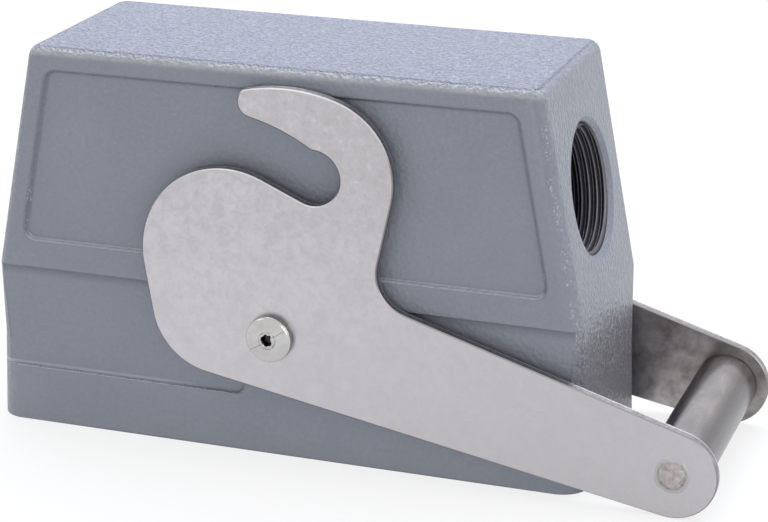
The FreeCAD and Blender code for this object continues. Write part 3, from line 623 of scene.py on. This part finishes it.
def powder_coat(look):
    """Grey textured paint: orange peel, strongest on the top, over a fine grain, with painted shade in its
    pits, painted highlights on its crests, a painted sky reflection on the top, and painted shade,
    highlights, glints and a lever reflection on its rims, edges and end wall.
    """
    material, tree, shader, place = new_material("grey_powder_coat")
    across, deep, up = facing(tree)
    bend = ranged(tree, combined(tree, "MAXIMUM", across, deep, up), 0.97, 0.86)
    top = ranged(tree, up, 0.55, 0.97)
    side = product(tree, ranged(tree, across, 0.6, 0.95, 0.0, 0.22),
                   ranged(tree, parts_of(tree, place)[1], 2 * MM, 11 * MM, 1.0, 0.45))
    lively = combined(tree, "MAXIMUM", top, side)
    wide = blotches(tree, place, look.ripple_size, detail=1.5, rough=0.45)
    close = blotches(tree, place, look.ripple_size * 0.7, detail=1.5, rough=0.45)
    ripple = between(tree, top, wide, close)
    grain = blotches(tree, place, look.grain_size, rough=0.6)
    cloud = blotches(tree, place, 14 * MM, detail=3.0)
    shade = varied(tree, ranged(tree, cloud, 0.3, 0.7), look.paint, 0.97, 1.03)
    # Painted sky reflection tints the top
    shade = mixed(tree, product(tree, top, 0.6), shade, look.painted_top_sheen)
    marked = combined(tree, "ADD", product(tree, lively, 0.88), 0.12)
    # Painted shade in the peel's pits, then painted highlights on its crests
    pits = product(tree, ranged(tree, ripple, 0.3, 0.45, 0.7, 0.0), marked)
    shade = mixed(tree, pits, shade, look.pits)
    crests = product(tree, ranged(tree, ripple, 0.52, 0.68, 0.0, 0.5), marked)
    shade = mixed(tree, crests, shade, look.crests)
    shade = shaded_rims(tree, look, place, shade)
    shade = reflected_lever(tree, look, place, shade, ripple)
    shade = highlighted_edges(tree, look, place, shade, bend)
    shade = glinting_corners(tree, look, place, shade)
    rough = ranged(tree, grain, 0.3, 0.7, look.gloss - 0.07, look.gloss + 0.08)
    shader.inputs["Specular Tint"].default_value = (*look.sheen, 1.0)
    calm = look.calm_height
    height = combined(tree, "ADD", product(tree, lively, look.ripple_height - calm), calm)
    edges = rounded_edges(tree, look.edge_radius)
    peel = raised(tree, ranged(tree, ripple, 0.25, 0.75, kind="SMOOTHSTEP"), height, edges)
    relief = raised(tree, grain, look.grain_height, peel)
    coat(tree, shader, shade, rough, relief, metallic=0.0)
    return material


def side_walls(tree, place):
    """1 on the hood's two long walls, short of their ends."""
    x, y, z = parts_of(tree, place)
    end = ranged(tree, z, SKIRT_TOP - 1 * MM, SKIRT_TOP + 1 * MM, SKIRT_END, BODY_END)
    past_end = combined(tree, "SUBTRACT", unsigned(tree, x), end)
    return product(tree, beyond(tree, unsigned(tree, y), SIDE_WALL, 0.5 * MM),
                   short_of(tree, past_end, 0.5 * MM, 0.5 * MM))


def shaded_rims(tree, look, place, shade):
    """Long walls: a painted shadow under the ridge, painted shade in rims that look down or sideways, and
    painted highlights on those that look up.

    A painted highlight line runs along the shelf at the foot of the relief.
    """
    wall = side_walls(tree, place)
    across, deep, _ = facing(tree)
    upwards = direction(tree)[2]
    x, _, z = parts_of(tree, place)
    out = unsigned(tree, x)
    # Painted shadow under the ridge
    ridge_shadow = product(
        tree,
        ranged(tree, z, look.ridge - 2.4 * MM, look.ridge - 0.1 * MM, 0.0, 0.6, kind="SMOOTHSTEP"),
        ranged(tree, z, look.ridge - 0.05 * MM, look.ridge, 1.0, 0.0),
        ranged(tree, deep, 0.7, 0.9),
    )
    shade = mixed(tree, ridge_shadow, shade, tinted(look.paint, 0.55))
    clear = combined(tree, "MAXIMUM", beyond(tree, z, FAINT_BELOW, 1 * MM),
                     short_of(tree, out, FAINT_BEYOND, 2 * MM))
    off_ridge = beyond(tree, unsigned(tree, combined(tree, "SUBTRACT", z, look.ridge)), 1.6 * MM, 0.4 * MM)
    sideways, uphill = soft_bend(tree, look.rim_softness)
    # Painted shade in rims that turn sideways or downhill
    turned = combined(tree, "MAXIMUM", ranged(tree, sideways, 0.05, 0.35),
                      ranged(tree, uphill, -0.08, -0.4, 0.0, 0.8))
    shade = mixed(tree, product(tree, turned, wall, off_ridge, clear, 0.55), shade, tinted(look.paint, 0.45))
    # Painted shade on faces that look down or slant
    slanted = ranged(tree, combined(tree, "MINIMUM", across, deep), 0.3, 0.5, 0.0, 0.3)
    hidden_shade = combined(tree, "MAXIMUM", ranged(tree, upwards, -0.25, -0.5), slanted)
    shade = mixed(tree, product(tree, hidden_shade, clear, wall, 0.6), shade, tinted(look.paint, 0.45))
    # Painted highlight on rims that look up
    lit_rim = product(tree, ranged(tree, upwards, 0.3, 0.55, 0.0, 0.8), wall,
                       short_of(tree, z, PANEL_TOP, 0.5 * MM))
    shade = mixed(tree, lit_rim, shade, tinted(look.paint, 1.75))
    # Painted highlight line along the shelf at the relief's foot
    off_shelf = unsigned(tree, combined(tree, "SUBTRACT", z, look.shelf + 0.3 * MM))
    shelf = product(tree, ranged(tree, off_shelf, 0.2 * MM, 0.5 * MM, 1.0, 0.0),
                    ranged(tree, out, 12 * MM, 24 * MM, 0.0, 0.7), wall)
    return mixed(tree, shelf, shade, tinted(look.paint, 1.75))


def reflected_lever(tree, look, place, shade, ripple):
    """End wall by the handle bar: a painted reflection of the lever, dark low down, up to a slanting border
    of painted dark specks and painted glints.
    """
    facing_bar = ranged(tree, direction(tree)[0], 0.62, 0.92)
    _, y, z = parts_of(tree, place)
    level = combined(tree, "ADD", z, product(tree, y, 0.17))
    ragged = combined(tree, "ADD", level, ranged(tree, ripple, 0.2, 0.8, -4 * MM, 4 * MM))
    # Painted reflection of the lever
    lever_reflection = product(tree, ranged(tree, ragged, 28.5 * MM, 25 * MM, 0.0, 0.66), facing_bar)
    shade = mixed(tree, lever_reflection, shade, look.lever_reflection)
    steeper = combined(tree, "ADD", level, product(tree, y, 0.22))
    border = product(tree, beyond(tree, steeper, 15 * MM, 3 * MM), short_of(tree, level, 29 * MM, 2 * MM),
                     facing_bar)
    crackle = blotches(tree, place, 0.55 * MM, rough=0.6)
    # Painted dark specks and glints along the reflection's border
    dark = product(tree, border, ranged(tree, crackle, 0.5, 0.36, 0.0, 0.55))
    shade = mixed(tree, dark, shade, tinted(look.paint, 0.3))
    pale = product(tree, border, ranged(tree, crackle, 0.53, 0.66, 0.0, 0.6))
    return mixed(tree, pale, shade, look.glint)


def highlighted_edges(tree, look, place, shade, bend):
    """Long top edges: painted highlight specks on the bend, and a fine painted shade line above it."""
    _, deep, up = facing(tree)
    high = beyond(tree, parts_of(tree, place)[2], TOP_EDGE, 0.4 * MM)
    fine = blotches(tree, place, 0.6 * MM, detail=3.0, rough=0.65)
    patchy = blotches(tree, place, 5 * MM)
    # Painted shade line above the bend
    line = product(tree, ranged(tree, up, 0.86, 0.94, 0.0, 0.5), ranged(tree, up, 0.995, 0.965), high)
    shade = mixed(tree, line, shade, tinted(look.paint, 0.35))
    # Painted highlight specks on the rounded top edge
    edge_highlight = product(
        tree,
        bend,
        high,
        ranged(tree, deep, 0.12, 0.3),
        ranged(tree, up, 0.2, 0.4),
        ranged(tree, fine, 0.38, 0.62, 0.4, 0.85),
        ranged(tree, patchy, 0.3, 0.6, 0.6, 1.0),
    )
    return mixed(tree, edge_highlight, shade, look.glint)


def glinting_corners(tree, look, place, shade):
    """Painted glints: pale specks high on the walls, and stronger ones along the upright corners."""
    across, deep, _ = facing(tree)
    x, y, z = parts_of(tree, place)
    glint_noise = blotches(tree, place, 0.42 * MM, rough=0.55)
    # Painted glints in the orange peel, high on the walls
    specks = product(tree, ranged(tree, glint_noise, 0.63, 0.7, 0.0, 0.2),
                     ranged(tree, z, 40 * MM, 64 * MM, 0.15, 1.0))
    shade = mixed(tree, specks, shade, tinted(look.glint, 1.2))
    broken = ranged(tree, blotches(tree, place, 3 * MM), 0.44, 0.56)
    # Painted glints along the upright corners
    sparkle = product(
        tree,
        ranged(tree, combined(tree, "MINIMUM", across, deep), 0.46, 0.6),
        beyond(tree, unsigned(tree, x), END_CORNER, 0.5 * MM),
        beyond(tree, unsigned(tree, y), SIDE_WALL, 0.5 * MM),
        ranged(tree, z, 24 * MM, 34 * MM, 0.35, 1.0),
        broken,
        ranged(tree, glint_noise, 0.55, 0.63, 0.0, 0.65),
    )
    return mixed(tree, sparkle, shade, tinted(look.glint, 1.5))


def cut_aluminium(look, centre, way, wall, root):
    """Cut thread: grey ridges with fine tool marks, painted shade in the grooves, and painted shade that
    darkens it further into the bore.
    """
    material, tree, shader, place = new_material("cut_thread")
    marks = blotches(tree, place, 0.6 * MM)
    reach, along = about_axis(tree, place, centre, way)
    # Painted shade in the grooves
    groove = ranged(tree, reach, root - look.depth * 0.85, root, kind="SMOOTHSTEP")
    shade = mixed(tree, groove, varied(tree, marks, look.metal, 0.8, 1.2), look.groove_shade)
    lit_end = wall / 2 - look.reach
    # Painted shade further into the bore
    bore_shade = ranged(tree, along, lit_end - look.pitch, lit_end, 0.97, 0.0)
    shade = mixed(tree, bore_shade, shade, tinted(look.groove_shade, 0.2))
    coat(tree, shader, shade, ranged(tree, groove, 0.0, 1.0, 0.42, 0.6), metallic=0.8)
    return material


def stamped_steel(look, name, inner, bar, burr_face):
    """Satin sheet steel with rough cut edges, painted highlights and shade along them, and painted shade on
    the inner face.

    Inner is the way the inner face looks along Y, bar the middle of the handle
    bar, and burr_face the Y of the face that the painted highlight along the cut edge stands on.
    """
    material, tree, shader, place = new_material(name)
    deep = facing(tree)[1]
    mottle = blotches(tree, place, look.mottle_size, detail=4.0, rough=0.6, distortion=0.15)
    fine = blotches(tree, place, 0.5 * MM)
    torn = blotches(tree, stretched(tree, place, (1.0, 0.3, 1.0)), 0.8 * MM, detail=4.0, rough=0.65)
    inwards = product(tree, direction(tree)[1], float(inner))
    # Painted shade on the inner face
    shade = mixed(tree, ranged(tree, inwards, 0.8, 0.95), satin_face(tree, look, place, mottle, fine),
                  shaded_inner_face(tree, look, place, mottle, bar))
    edge = ranged(tree, deep, 0.45, 0.6, 1.0, 0.0)
    shade = mixed(tree, edge, shade, sheared_edge(tree, look, place, torn, burr_face))
    # Painted highlight and shade on the corners between face and edge
    corner = product(tree, ranged(tree, deep, 0.5, 0.65, 0.0, 0.85),
                     ranged(tree, deep, 0.8, 0.95, 1.0, 0.0))
    shade = mixed(tree, corner, shade, lit_corner(tree, look, place))
    rough = combined(tree, "ADD", ranged(tree, mottle, 0.25, 0.75, 0.36, 0.28), product(tree, edge, 0.08))
    level = raised(tree, fine, 0.006 * MM)
    coat(tree, shader, shade, rough, raised(tree, torn, product(tree, edge, 0.12 * MM), level))
    return material


def satin_face(tree, look, place, mottle, fine):
    """An arm's outer face: mottled, darker towards the hook and the bar, patchy near the hook."""
    x, _, z = parts_of(tree, place)
    spots = blotches(tree, place, look.mottle_size * 0.4, detail=5.0, rough=0.7, distortion=0.6)
    shade = varied(tree, ranged(tree, mottle, 0.3, 0.7), look.arm, 0.96, 1.04)
    darker_face = combined(tree, "ADD", ranged(tree, x, -5 * MM, 66 * MM, 0.0, 0.62),
                      ranged(tree, z, 34 * MM, 62 * MM, 0.0, 0.34))
    shade = mixed(tree, darker_face, shade, look.darker_face)
    patches = product(tree, ranged(tree, z, 20 * MM, 55 * MM, 0.3, 1.0),
                      ranged(tree, spots, 0.44, 0.62, 0.0, 0.8))
    shade = mixed(tree, patches, shade, look.patch)
    gleams = product(tree, ranged(tree, z, 35 * MM, 55 * MM, 0.1, 0.8), ranged(tree, spots, 0.42, 0.3))
    shade = mixed(tree, gleams, shade, tinted(look.arm, 1.12))
    return mixed(tree, ranged(tree, fine, 0.25, 0.75, 0.0, 0.5), shade, tinted(look.arm, 0.93))


def shaded_inner_face(tree, look, place, mottle, bar):
    """An arm's inner face: painted shade with dark blotches, and a painted warm reflection of the bar round
    it.
    """
    blotched_shade = varied(tree, ranged(tree, mottle, 0.35, 0.65), look.inner_shade, 0.62, 1.35)
    reach = about_axis(tree, place, bar, CROSSWISE)[0]
    return mixed(tree, ranged(tree, reach, 5 * MM, 9 * MM, 0.7, 0.0), blotched_shade, look.bar_reflection)


def sheared_edge(tree, look, place, torn, burr_face):
    """An arm's cut edge: torn steel with a painted highlight line along one face."""
    cut = varied(tree, ranged(tree, torn, 0.35, 0.65), look.sheared, 0.75, 1.2)
    y = parts_of(tree, place)[1]
    # Painted highlight along the cut edge's outer corner
    burr_highlight = ranged(tree, y, burr_face - 0.65 * MM, burr_face - 0.4 * MM, 0.0, 0.8)
    return mixed(tree, burr_highlight, cut, tinted(look.sheared, 2.3))


def lit_corner(tree, look, place):
    """The corner between an arm's face and its edge: a painted highlight where it looks up, but less along
    the beam, and painted shade elsewhere.
    """
    x = parts_of(tree, place)[0]
    lit = product(tree, ranged(tree, direction(tree)[2], 0.15, 0.5),
                  ranged(tree, x, 14 * MM, 28 * MM, 1.0, 0.2))
    return mixed(tree, lit, tinted(look.sheared, 0.75), look.bright)


def drawn_steel(look):
    """Bar steel with streaks along its length and cloudy stains, with painted shade on the side away from
    the hood.
    """
    material, tree, shader, place = new_material("drawn_bar_steel")
    streaks = blotches(tree, stretched(tree, place, (1.0, 0.06, 1.0)), 0.9 * MM, detail=3.0)
    cloud = blotches(tree, stretched(tree, place, (1.0, 0.4, 1.0)), 3.5 * MM, detail=4.0, distortion=0.5)
    shade = varied(tree, ranged(tree, cloud, 0.3, 0.7), look.bar, 0.8, 1.16)
    shade = mixed(tree, ranged(tree, cloud, 0.5, 0.75, 0.0, 0.6), shade, look.bar_stain)
    shade = mixed(tree, ranged(tree, streaks, 0.35, 0.65, 0.0, 0.5), shade, tinted(look.bar, 0.78))
    # Painted shade on the side away from the hood
    shade = mixed(tree, ranged(tree, direction(tree)[0], 0.45, 0.72), shade, tinted(look.bar, 0.5))
    coat(tree, shader, shade, ranged(tree, streaks, 0.25, 0.75, 0.2, 0.3), raised(tree, streaks, 0.012 * MM))
    return material


def staked_steel(look, centre):
    """Hammered rivet end: warm and smeared, with broken dark marks where it runs out into the arm."""
    material, tree, shader, place = new_material("staked_steel")
    dents = blotches(tree, place, 1.3 * MM, detail=3.0, distortion=0.6)
    smears = blotches(tree, place, 1.9 * MM, detail=4.0, rough=0.65, distortion=1.2)
    shade = varied(tree, ranged(tree, dents, 0.3, 0.7), look.rivet, 0.85, 1.12)
    shade = mixed(tree, ranged(tree, smears, 0.54, 0.62, 0.0, 0.7), shade, tinted(look.rivet, 0.5))
    reach = about_axis(tree, place, centre, CROSSWISE)[0]
    uneven = combined(tree, "ADD", reach, ranged(tree, smears, 0.3, 0.7, -0.25 * MM, 0.25 * MM))
    shade = mixed(tree, ranged(tree, uneven, 2.6 * MM, 3.0 * MM), shade, look.darker_face)
    ring = product(tree, ranged(tree, uneven, 2.3 * MM, 2.55 * MM),
                   ranged(tree, uneven, 2.65 * MM, 2.85 * MM, 1.0, 0.0),
                   ranged(tree, dents, 0.4, 0.6, 0.1, 0.8))
    shade = mixed(tree, ring, shade, tinted(look.rivet, 0.5))
    coat(tree, shader, shade, ranged(tree, dents, 0.3, 0.7, 0.3, 0.48), raised(tree, dents, 0.07 * MM))
    return material


def polished_steel(look, pivot, tip):
    """Polished pin with painted shade on its rim and in its centre hole, and one broken scratch across its
    face.
    """
    material, tree, shader, place = new_material("polished_pin_steel")
    cloud = blotches(tree, place, 1.5 * MM, detail=3.0)
    shade = varied(tree, ranged(tree, cloud, 0.3, 0.7), look.pin, 0.94, 1.05)
    slope = math.radians(33)
    x, _, z = parts_of(tree, stretched(tree, place, (1, 1, 1), pivot))
    off_line = combined(tree, "SUBTRACT", product(tree, x, math.sin(slope)),
                        product(tree, z, math.cos(slope)))
    wander = ranged(tree, blotches(tree, place, 2.5 * MM), 0.0, 1.0, -0.25 * MM, 0.25 * MM)
    gap = unsigned(tree, combined(tree, "ADD", off_line, wander))
    scratch = product(tree, ranged(tree, gap, 0.03 * MM, 0.13 * MM, 1.0, 0.0),
                      ranged(tree, blotches(tree, place, 1.8 * MM), 0.36, 0.48, 0.0, 0.5))
    shade = mixed(tree, scratch, shade, tinted(look.pin, 0.3))
    # Painted shade on the side of the head
    shade = mixed(tree, ranged(tree, facing(tree)[1], 0.3, 0.6, 1.0, 0.0), shade, tinted(look.pin, 0.48))
    reach, along = about_axis(tree, place, pivot, CROSSWISE)
    # Painted shade in the centre hole
    sunk = short_of(tree, unsigned(tree, along), tip - 0.12 * MM, 0.04 * MM)
    hole = product(tree, sunk, short_of(tree, reach, 1.75 * MM, 0.05 * MM))
    shade = mixed(tree, hole, shade, tinted(look.pin, 0.07))
    coat(tree, shader, shade, ranged(tree, cloud, 0.3, 0.7, 0.12, 0.22), raised(tree, cloud, 0.02 * MM))
    return material


def moulded_plastic(look):
    """Matte moulded plastic with a faint grain."""
    material, tree, shader, place = new_material("moulded_plastic")
    shade = varied(tree, blotches(tree, place, 9 * MM, detail=3.0), look.plastic, 0.95, 1.05)
    grain = blotches(tree, place, 0.3 * MM)
    rough = ranged(tree, grain, 0.2, 0.8, 0.48, 0.6)
    coat(tree, shader, shade, rough, raised(tree, grain, 0.008 * MM), metallic=0.0)
    return material


def plated_metal(name, base, low, high):
    """Plated metal with a slightly cloudy shine, its roughness between low and high."""
    material, tree, shader, place = new_material(name)
    cloud = blotches(tree, place, 1.6 * MM, detail=3.0)
    rough = ranged(tree, cloud, 0.25, 0.75, low, high)
    coat(tree, shader, varied(tree, cloud, base, 0.88, 1.08), rough, raised(tree, cloud, 0.01 * MM))
    return material


# Pieces


class CONNECTOR_OT_hood(bpy.types.Operator):
    """Make the painted hood casting"""

    bl_idname = "connector.hood"
    bl_label = "Hood"

    def execute(self, context):
        finish_node("hood_shell", "painted_hood", HOOD, powder_coat(context.scene.hood_look))
        return {"FINISHED"}


class CONNECTOR_OT_thread(bpy.types.Operator):
    """Cut the thread of the cable entry"""

    bl_idname = "connector.thread"
    bl_label = "Entry thread"

    def execute(self, context):
        look = context.scene.thread_look
        mount = next(m for m in frame["record"]["mounts"] if m["name"] == "cable_entry")
        wall = mount["dims"]["length_mm"] * MM
        buried = 0.03 * MM
        root = mount["dims"]["r_mm"] * MM + buried
        out = Vector(mount["axis"]).normalized()
        work = cut_thread(look, root, wall)
        turn = Vector((0, 0, 1)).rotation_difference(out).to_matrix()
        place = Matrix.Translation(mount["pos_m"]) @ turn.to_4x4()
        bmesh.ops.transform(work, matrix=place, verts=work.verts)
        metal = cut_aluminium(look, mount["pos_m"], out, wall, root)
        piece_from(work, "cable_entry_thread", HOOD, metal)
        return {"FINISHED"}


class CONNECTOR_OT_lever(bpy.types.Operator):
    """Make the two stamped arms of the lever"""

    bl_idname = "connector.lever"
    bl_label = "Lever arms"

    def execute(self, context):
        bar = middle_of(BAR)
        for node, inner in zip(ARMS, (1, -1)):
            burr_face = max(co.y for co in places_of(node))
            steel = stamped_steel(context.scene.lever_look, f"satin_{node}", inner, bar, burr_face)
            finish_node(node, f"stamped_{node}", LEVER, steel)
        return {"FINISHED"}


class CONNECTOR_OT_bar(bpy.types.Operator):
    """Make the handle bar and its staked ends"""

    bl_idname = "connector.bar"
    bl_label = "Handle bar"

    def execute(self, context):
        look = context.scene.lever_look
        middle = middle_of(BAR)
        face = farthest_out(ARMS[0])
        work = merged_copy(BAR)
        for side in (-1, 1):
            cut_off(work, (0, face * side, 0), (0, side, 0))
        smooth_by_angle(work)
        piece_from(work, "drawn_handle_bar", LEVER, drawn_steel(look), [BAR])
        steel = staked_steel(look, middle)
        for name, side in (("front", -1), ("rear", 1)):
            work = hammered_head(look, side)
            place = Matrix.Translation((middle.x, face * side, middle.z))
            bmesh.ops.transform(work, matrix=place, verts=work.verts)
            smooth_by_angle(work, HAMMERED_CREASE)
            piece_from(work, f"{name}_staked_end", LEVER, steel)
        return {"FINISHED"}


class CONNECTOR_OT_pivots(bpy.types.Operator):
    """Make the pivot pins with their turned heads, and finish their washers"""

    bl_idname = "connector.pivots"
    bl_label = "Pivots"

    def execute(self, context):
        look = context.scene.lever_look
        joint = next(j for j in frame["joints"] if j["name"] == "lever_pivot")
        pivot = Vector(joint["pos_m"])
        gap = 0.1 * MM
        foot = farthest_out(ARMS[0]) + gap
        tip = farthest_out(PINS[0])
        steel = polished_steel(look, pivot, tip)
        for node, side in zip(PINS, (-1, 1)):
            work = merged_copy(node)
            radius = max(math.hypot(vert.co.x, vert.co.z - pivot.z) for vert in work.verts)
            cut_off(work, (0, foot * side, 0), (0, side, 0))
            smooth_by_angle(work)
            dome = domed_head(look, radius, tip - foot, side)
            place = Matrix.Translation(pivot + Vector((0, foot * side, 0)))
            bmesh.ops.transform(dome, matrix=place, verts=dome.verts)
            smooth_by_angle(dome)
            joined = bpy.data.meshes.new("head")
            dome.to_mesh(joined)
            dome.free()
            work.from_mesh(joined)
            bpy.data.meshes.remove(joined)
            piece_from(work, f"polished_{node}", HOOD, steel, [node])
        plain = plated_metal("washer_steel", look.washer, 0.3, 0.4)
        for node in WASHERS:
            frame["nodes"][node].data.materials.clear()
            frame["nodes"][node].data.materials.append(plain)
        return {"FINISHED"}


class CONNECTOR_OT_insert(bpy.types.Operator):
    """Finish the contact insert, its contacts, screws and earth plates"""

    bl_idname = "connector.insert"
    bl_label = "Contact insert"

    def execute(self, context):
        look = context.scene.insert_look
        finish_node("insert_body", "moulded_insert", HOOD, moulded_plastic(look))
        silver = plated_metal("silver_plate", look.silver, 0.2, 0.32)
        zinc = plated_metal("zinc_plate", look.zinc, 0.26, 0.4)
        for node in CONTACTS:
            finish_node(node, f"plated_{node}", HOOD, silver)
        for node in SCREWS + EARTH_PLATES:
            finish_node(node, f"plated_{node}", HOOD, zinc)
        return {"FINISHED"}


# Stage


def photo_camera(look):
    """The camera that sees the object as the photo does."""
    camera = bpy.data.objects.new("photo_camera", bpy.data.cameras.new("photo_camera"))
    camera.data.sensor_width = 36
    camera.data.lens = look.lens
    camera.data.shift_x, camera.data.shift_y = look.shift
    camera.data.clip_start = 0.01
    pitch, yaw, roll = look.camera_turn
    turn = Matrix.Rotation(yaw, 4, "Z") @ Matrix.Rotation(pitch, 4, "X") @ Matrix.Rotation(roll, 4, "Z")
    camera.matrix_world = Matrix.Translation(look.camera_place) @ turn
    return camera


def seen_directly(tree):
    """1 for what the camera sees, itself or in a reflection, and 0 for light on its way elsewhere."""
    path = tree.nodes.new("ShaderNodeLightPath")
    return combined(tree, "MAXIMUM", path.outputs["Is Camera Ray"], path.outputs["Is Glossy Ray"],
                    path.outputs["Is Transmission Ray"])


def pale_floor(look):
    """Matte floor that takes shadows, mixed with plain white."""
    material = bpy.data.materials.new("pale_floor")
    material.use_nodes = True
    tree = material.node_tree
    tree.nodes.clear()
    output = tree.nodes.new("ShaderNodeOutputMaterial")
    matte = tree.nodes.new("ShaderNodeBsdfDiffuse")
    matte.inputs["Color"].default_value = (*look.floor, 1.0)
    white = tree.nodes.new("ShaderNodeEmission")
    blend = tree.nodes.new("ShaderNodeMixShader")
    glow = ranged(tree, seen_directly(tree), 0.0, 1.0, look.floor_glow, look.floor_white)
    tree.links.new(glow, blend.inputs["Fac"])
    tree.links.new(matte.outputs[0], blend.inputs[1])
    tree.links.new(white.outputs[0], blend.inputs[2])
    tree.links.new(blend.outputs[0], output.inputs["Surface"])
    return material


def white_studio(look):
    """Plain white surroundings that light the object more weakly than they look."""
    world = bpy.data.worlds.new("white_studio")
    world.use_nodes = True
    tree = world.node_tree
    background = tree.nodes["Background"]
    background.inputs["Color"].default_value = (1, 1, 1, 1)
    strength = ranged(tree, seen_directly(tree), 0.0, 1.0, look.world_light, 1.0)
    tree.links.new(strength, background.inputs["Strength"])
    return world


def soft_lamp(name, place, target, size, watts, tint=(1, 1, 1)):
    """Add a square area lamp that faces a point."""
    lamp = bpy.data.lights.new(name, "AREA")
    lamp.color = tint
    lamp.size = size
    lamp.energy = watts
    thing = bpy.data.objects.new(name, lamp)
    aim = (Vector(target) - Vector(place)).to_track_quat("-Z", "Y")
    thing.matrix_world = Matrix.Translation(place) @ aim.to_matrix().to_4x4()
    bpy.context.scene.collection.objects.link(thing)


class CONNECTOR_OT_stage(bpy.types.Operator):
    """Set up the camera, the floor and the light"""

    bl_idname = "connector.stage"
    bl_label = "Stage"

    def execute(self, context):
        scene = context.scene
        look = scene.stage_look
        camera = photo_camera(look)
        scene.collection.objects.link(camera)
        scene.camera = camera

        work = bmesh.new()
        bmesh.ops.create_grid(work, x_segments=1, y_segments=1, size=3.0)
        mesh = bpy.data.meshes.new("floor")
        work.to_mesh(mesh)
        work.free()
        mesh.materials.append(pale_floor(look))
        floor = bpy.data.objects.new("floor", mesh)
        scene.collection.objects.link(floor)

        scene.world = white_studio(look)
        low_front = (0, -0.02, 0.02)
        cool = (0.87, 0.91, 1.0)
        near_white = (0.96, 0.98, 1.0)
        soft_lamp("overhead", (-0.1, 0.42, 1.05), (0, 0, 0.03), size=1.1, watts=15.8, tint=cool)
        soft_lamp("right_fill", (0.9, -0.1, 0.5), (0.04, 0, 0.04), size=0.7, watts=2.0, tint=near_white)
        soft_lamp("left_front", (-0.75, -0.85, 0.45), low_front, size=0.35, watts=0.4)
        soft_lamp("front_fill", (0.3, -1.1, 0.1), low_front, size=0.3, watts=1.3)
        scene.view_settings.view_transform = "Standard"
        return {"FINISHED"}


class CONNECTOR_PT_panel(bpy.types.Panel):
    """Lists the pieces and their looks"""

    bl_idname = "CONNECTOR_PT_panel"
    bl_label = "Connector"
    bl_space_type = "VIEW_3D"
    bl_region_type = "UI"
    bl_category = "Connector"

    def draw(self, context):
        for operator in OPERATORS:
            self.layout.operator(operator.bl_idname)
        for name, group in LOOKS.items():
            box = self.layout.box()
            box.label(text=group.__doc__)
            for prop in group.__annotations__:
                box.prop(getattr(context.scene, name), prop)


LOOKS = {
    "hood_look": HoodLook,
    "thread_look": ThreadLook,
    "lever_look": LeverLook,
    "insert_look": InsertLook,
    "stage_look": StageLook,
}
OPERATORS = (
    CONNECTOR_OT_stage,
    CONNECTOR_OT_hood,
    CONNECTOR_OT_thread,
    CONNECTOR_OT_lever,
    CONNECTOR_OT_bar,
    CONNECTOR_OT_pivots,
    CONNECTOR_OT_insert,
)


def register():
    """Make the properties, the operators and the panel known."""
    for name, group in LOOKS.items():
        bpy.utils.register_class(group)
        setattr(bpy.types.Scene, name, PointerProperty(type=group))
    for operator in OPERATORS:
        bpy.utils.register_class(operator)
    bpy.utils.register_class(CONNECTOR_PT_panel)


def unregister():
    """Take back what register made known."""
    bpy.utils.unregister_class(CONNECTOR_PT_panel)
    for operator in reversed(OPERATORS):
        bpy.utils.unregister_class(operator)
    for name, group in reversed(LOOKS.items()):
        delattr(bpy.types.Scene, name)
        bpy.utils.unregister_class(group)


def main():
    """Build the stage and every piece."""
    register()
    for thing in [o for o in bpy.data.objects if o.name in ("Cube", "Light", "Camera")]:
        bpy.data.objects.remove(thing)
    bpy.ops.connector.stage()
    bpy.ops.connector.hood()
    bpy.ops.connector.thread()
    bpy.ops.connector.lever()
    bpy.ops.connector.bar()
    bpy.ops.connector.pivots()
    bpy.ops.connector.insert()


if __name__ == "__main__":
    main()
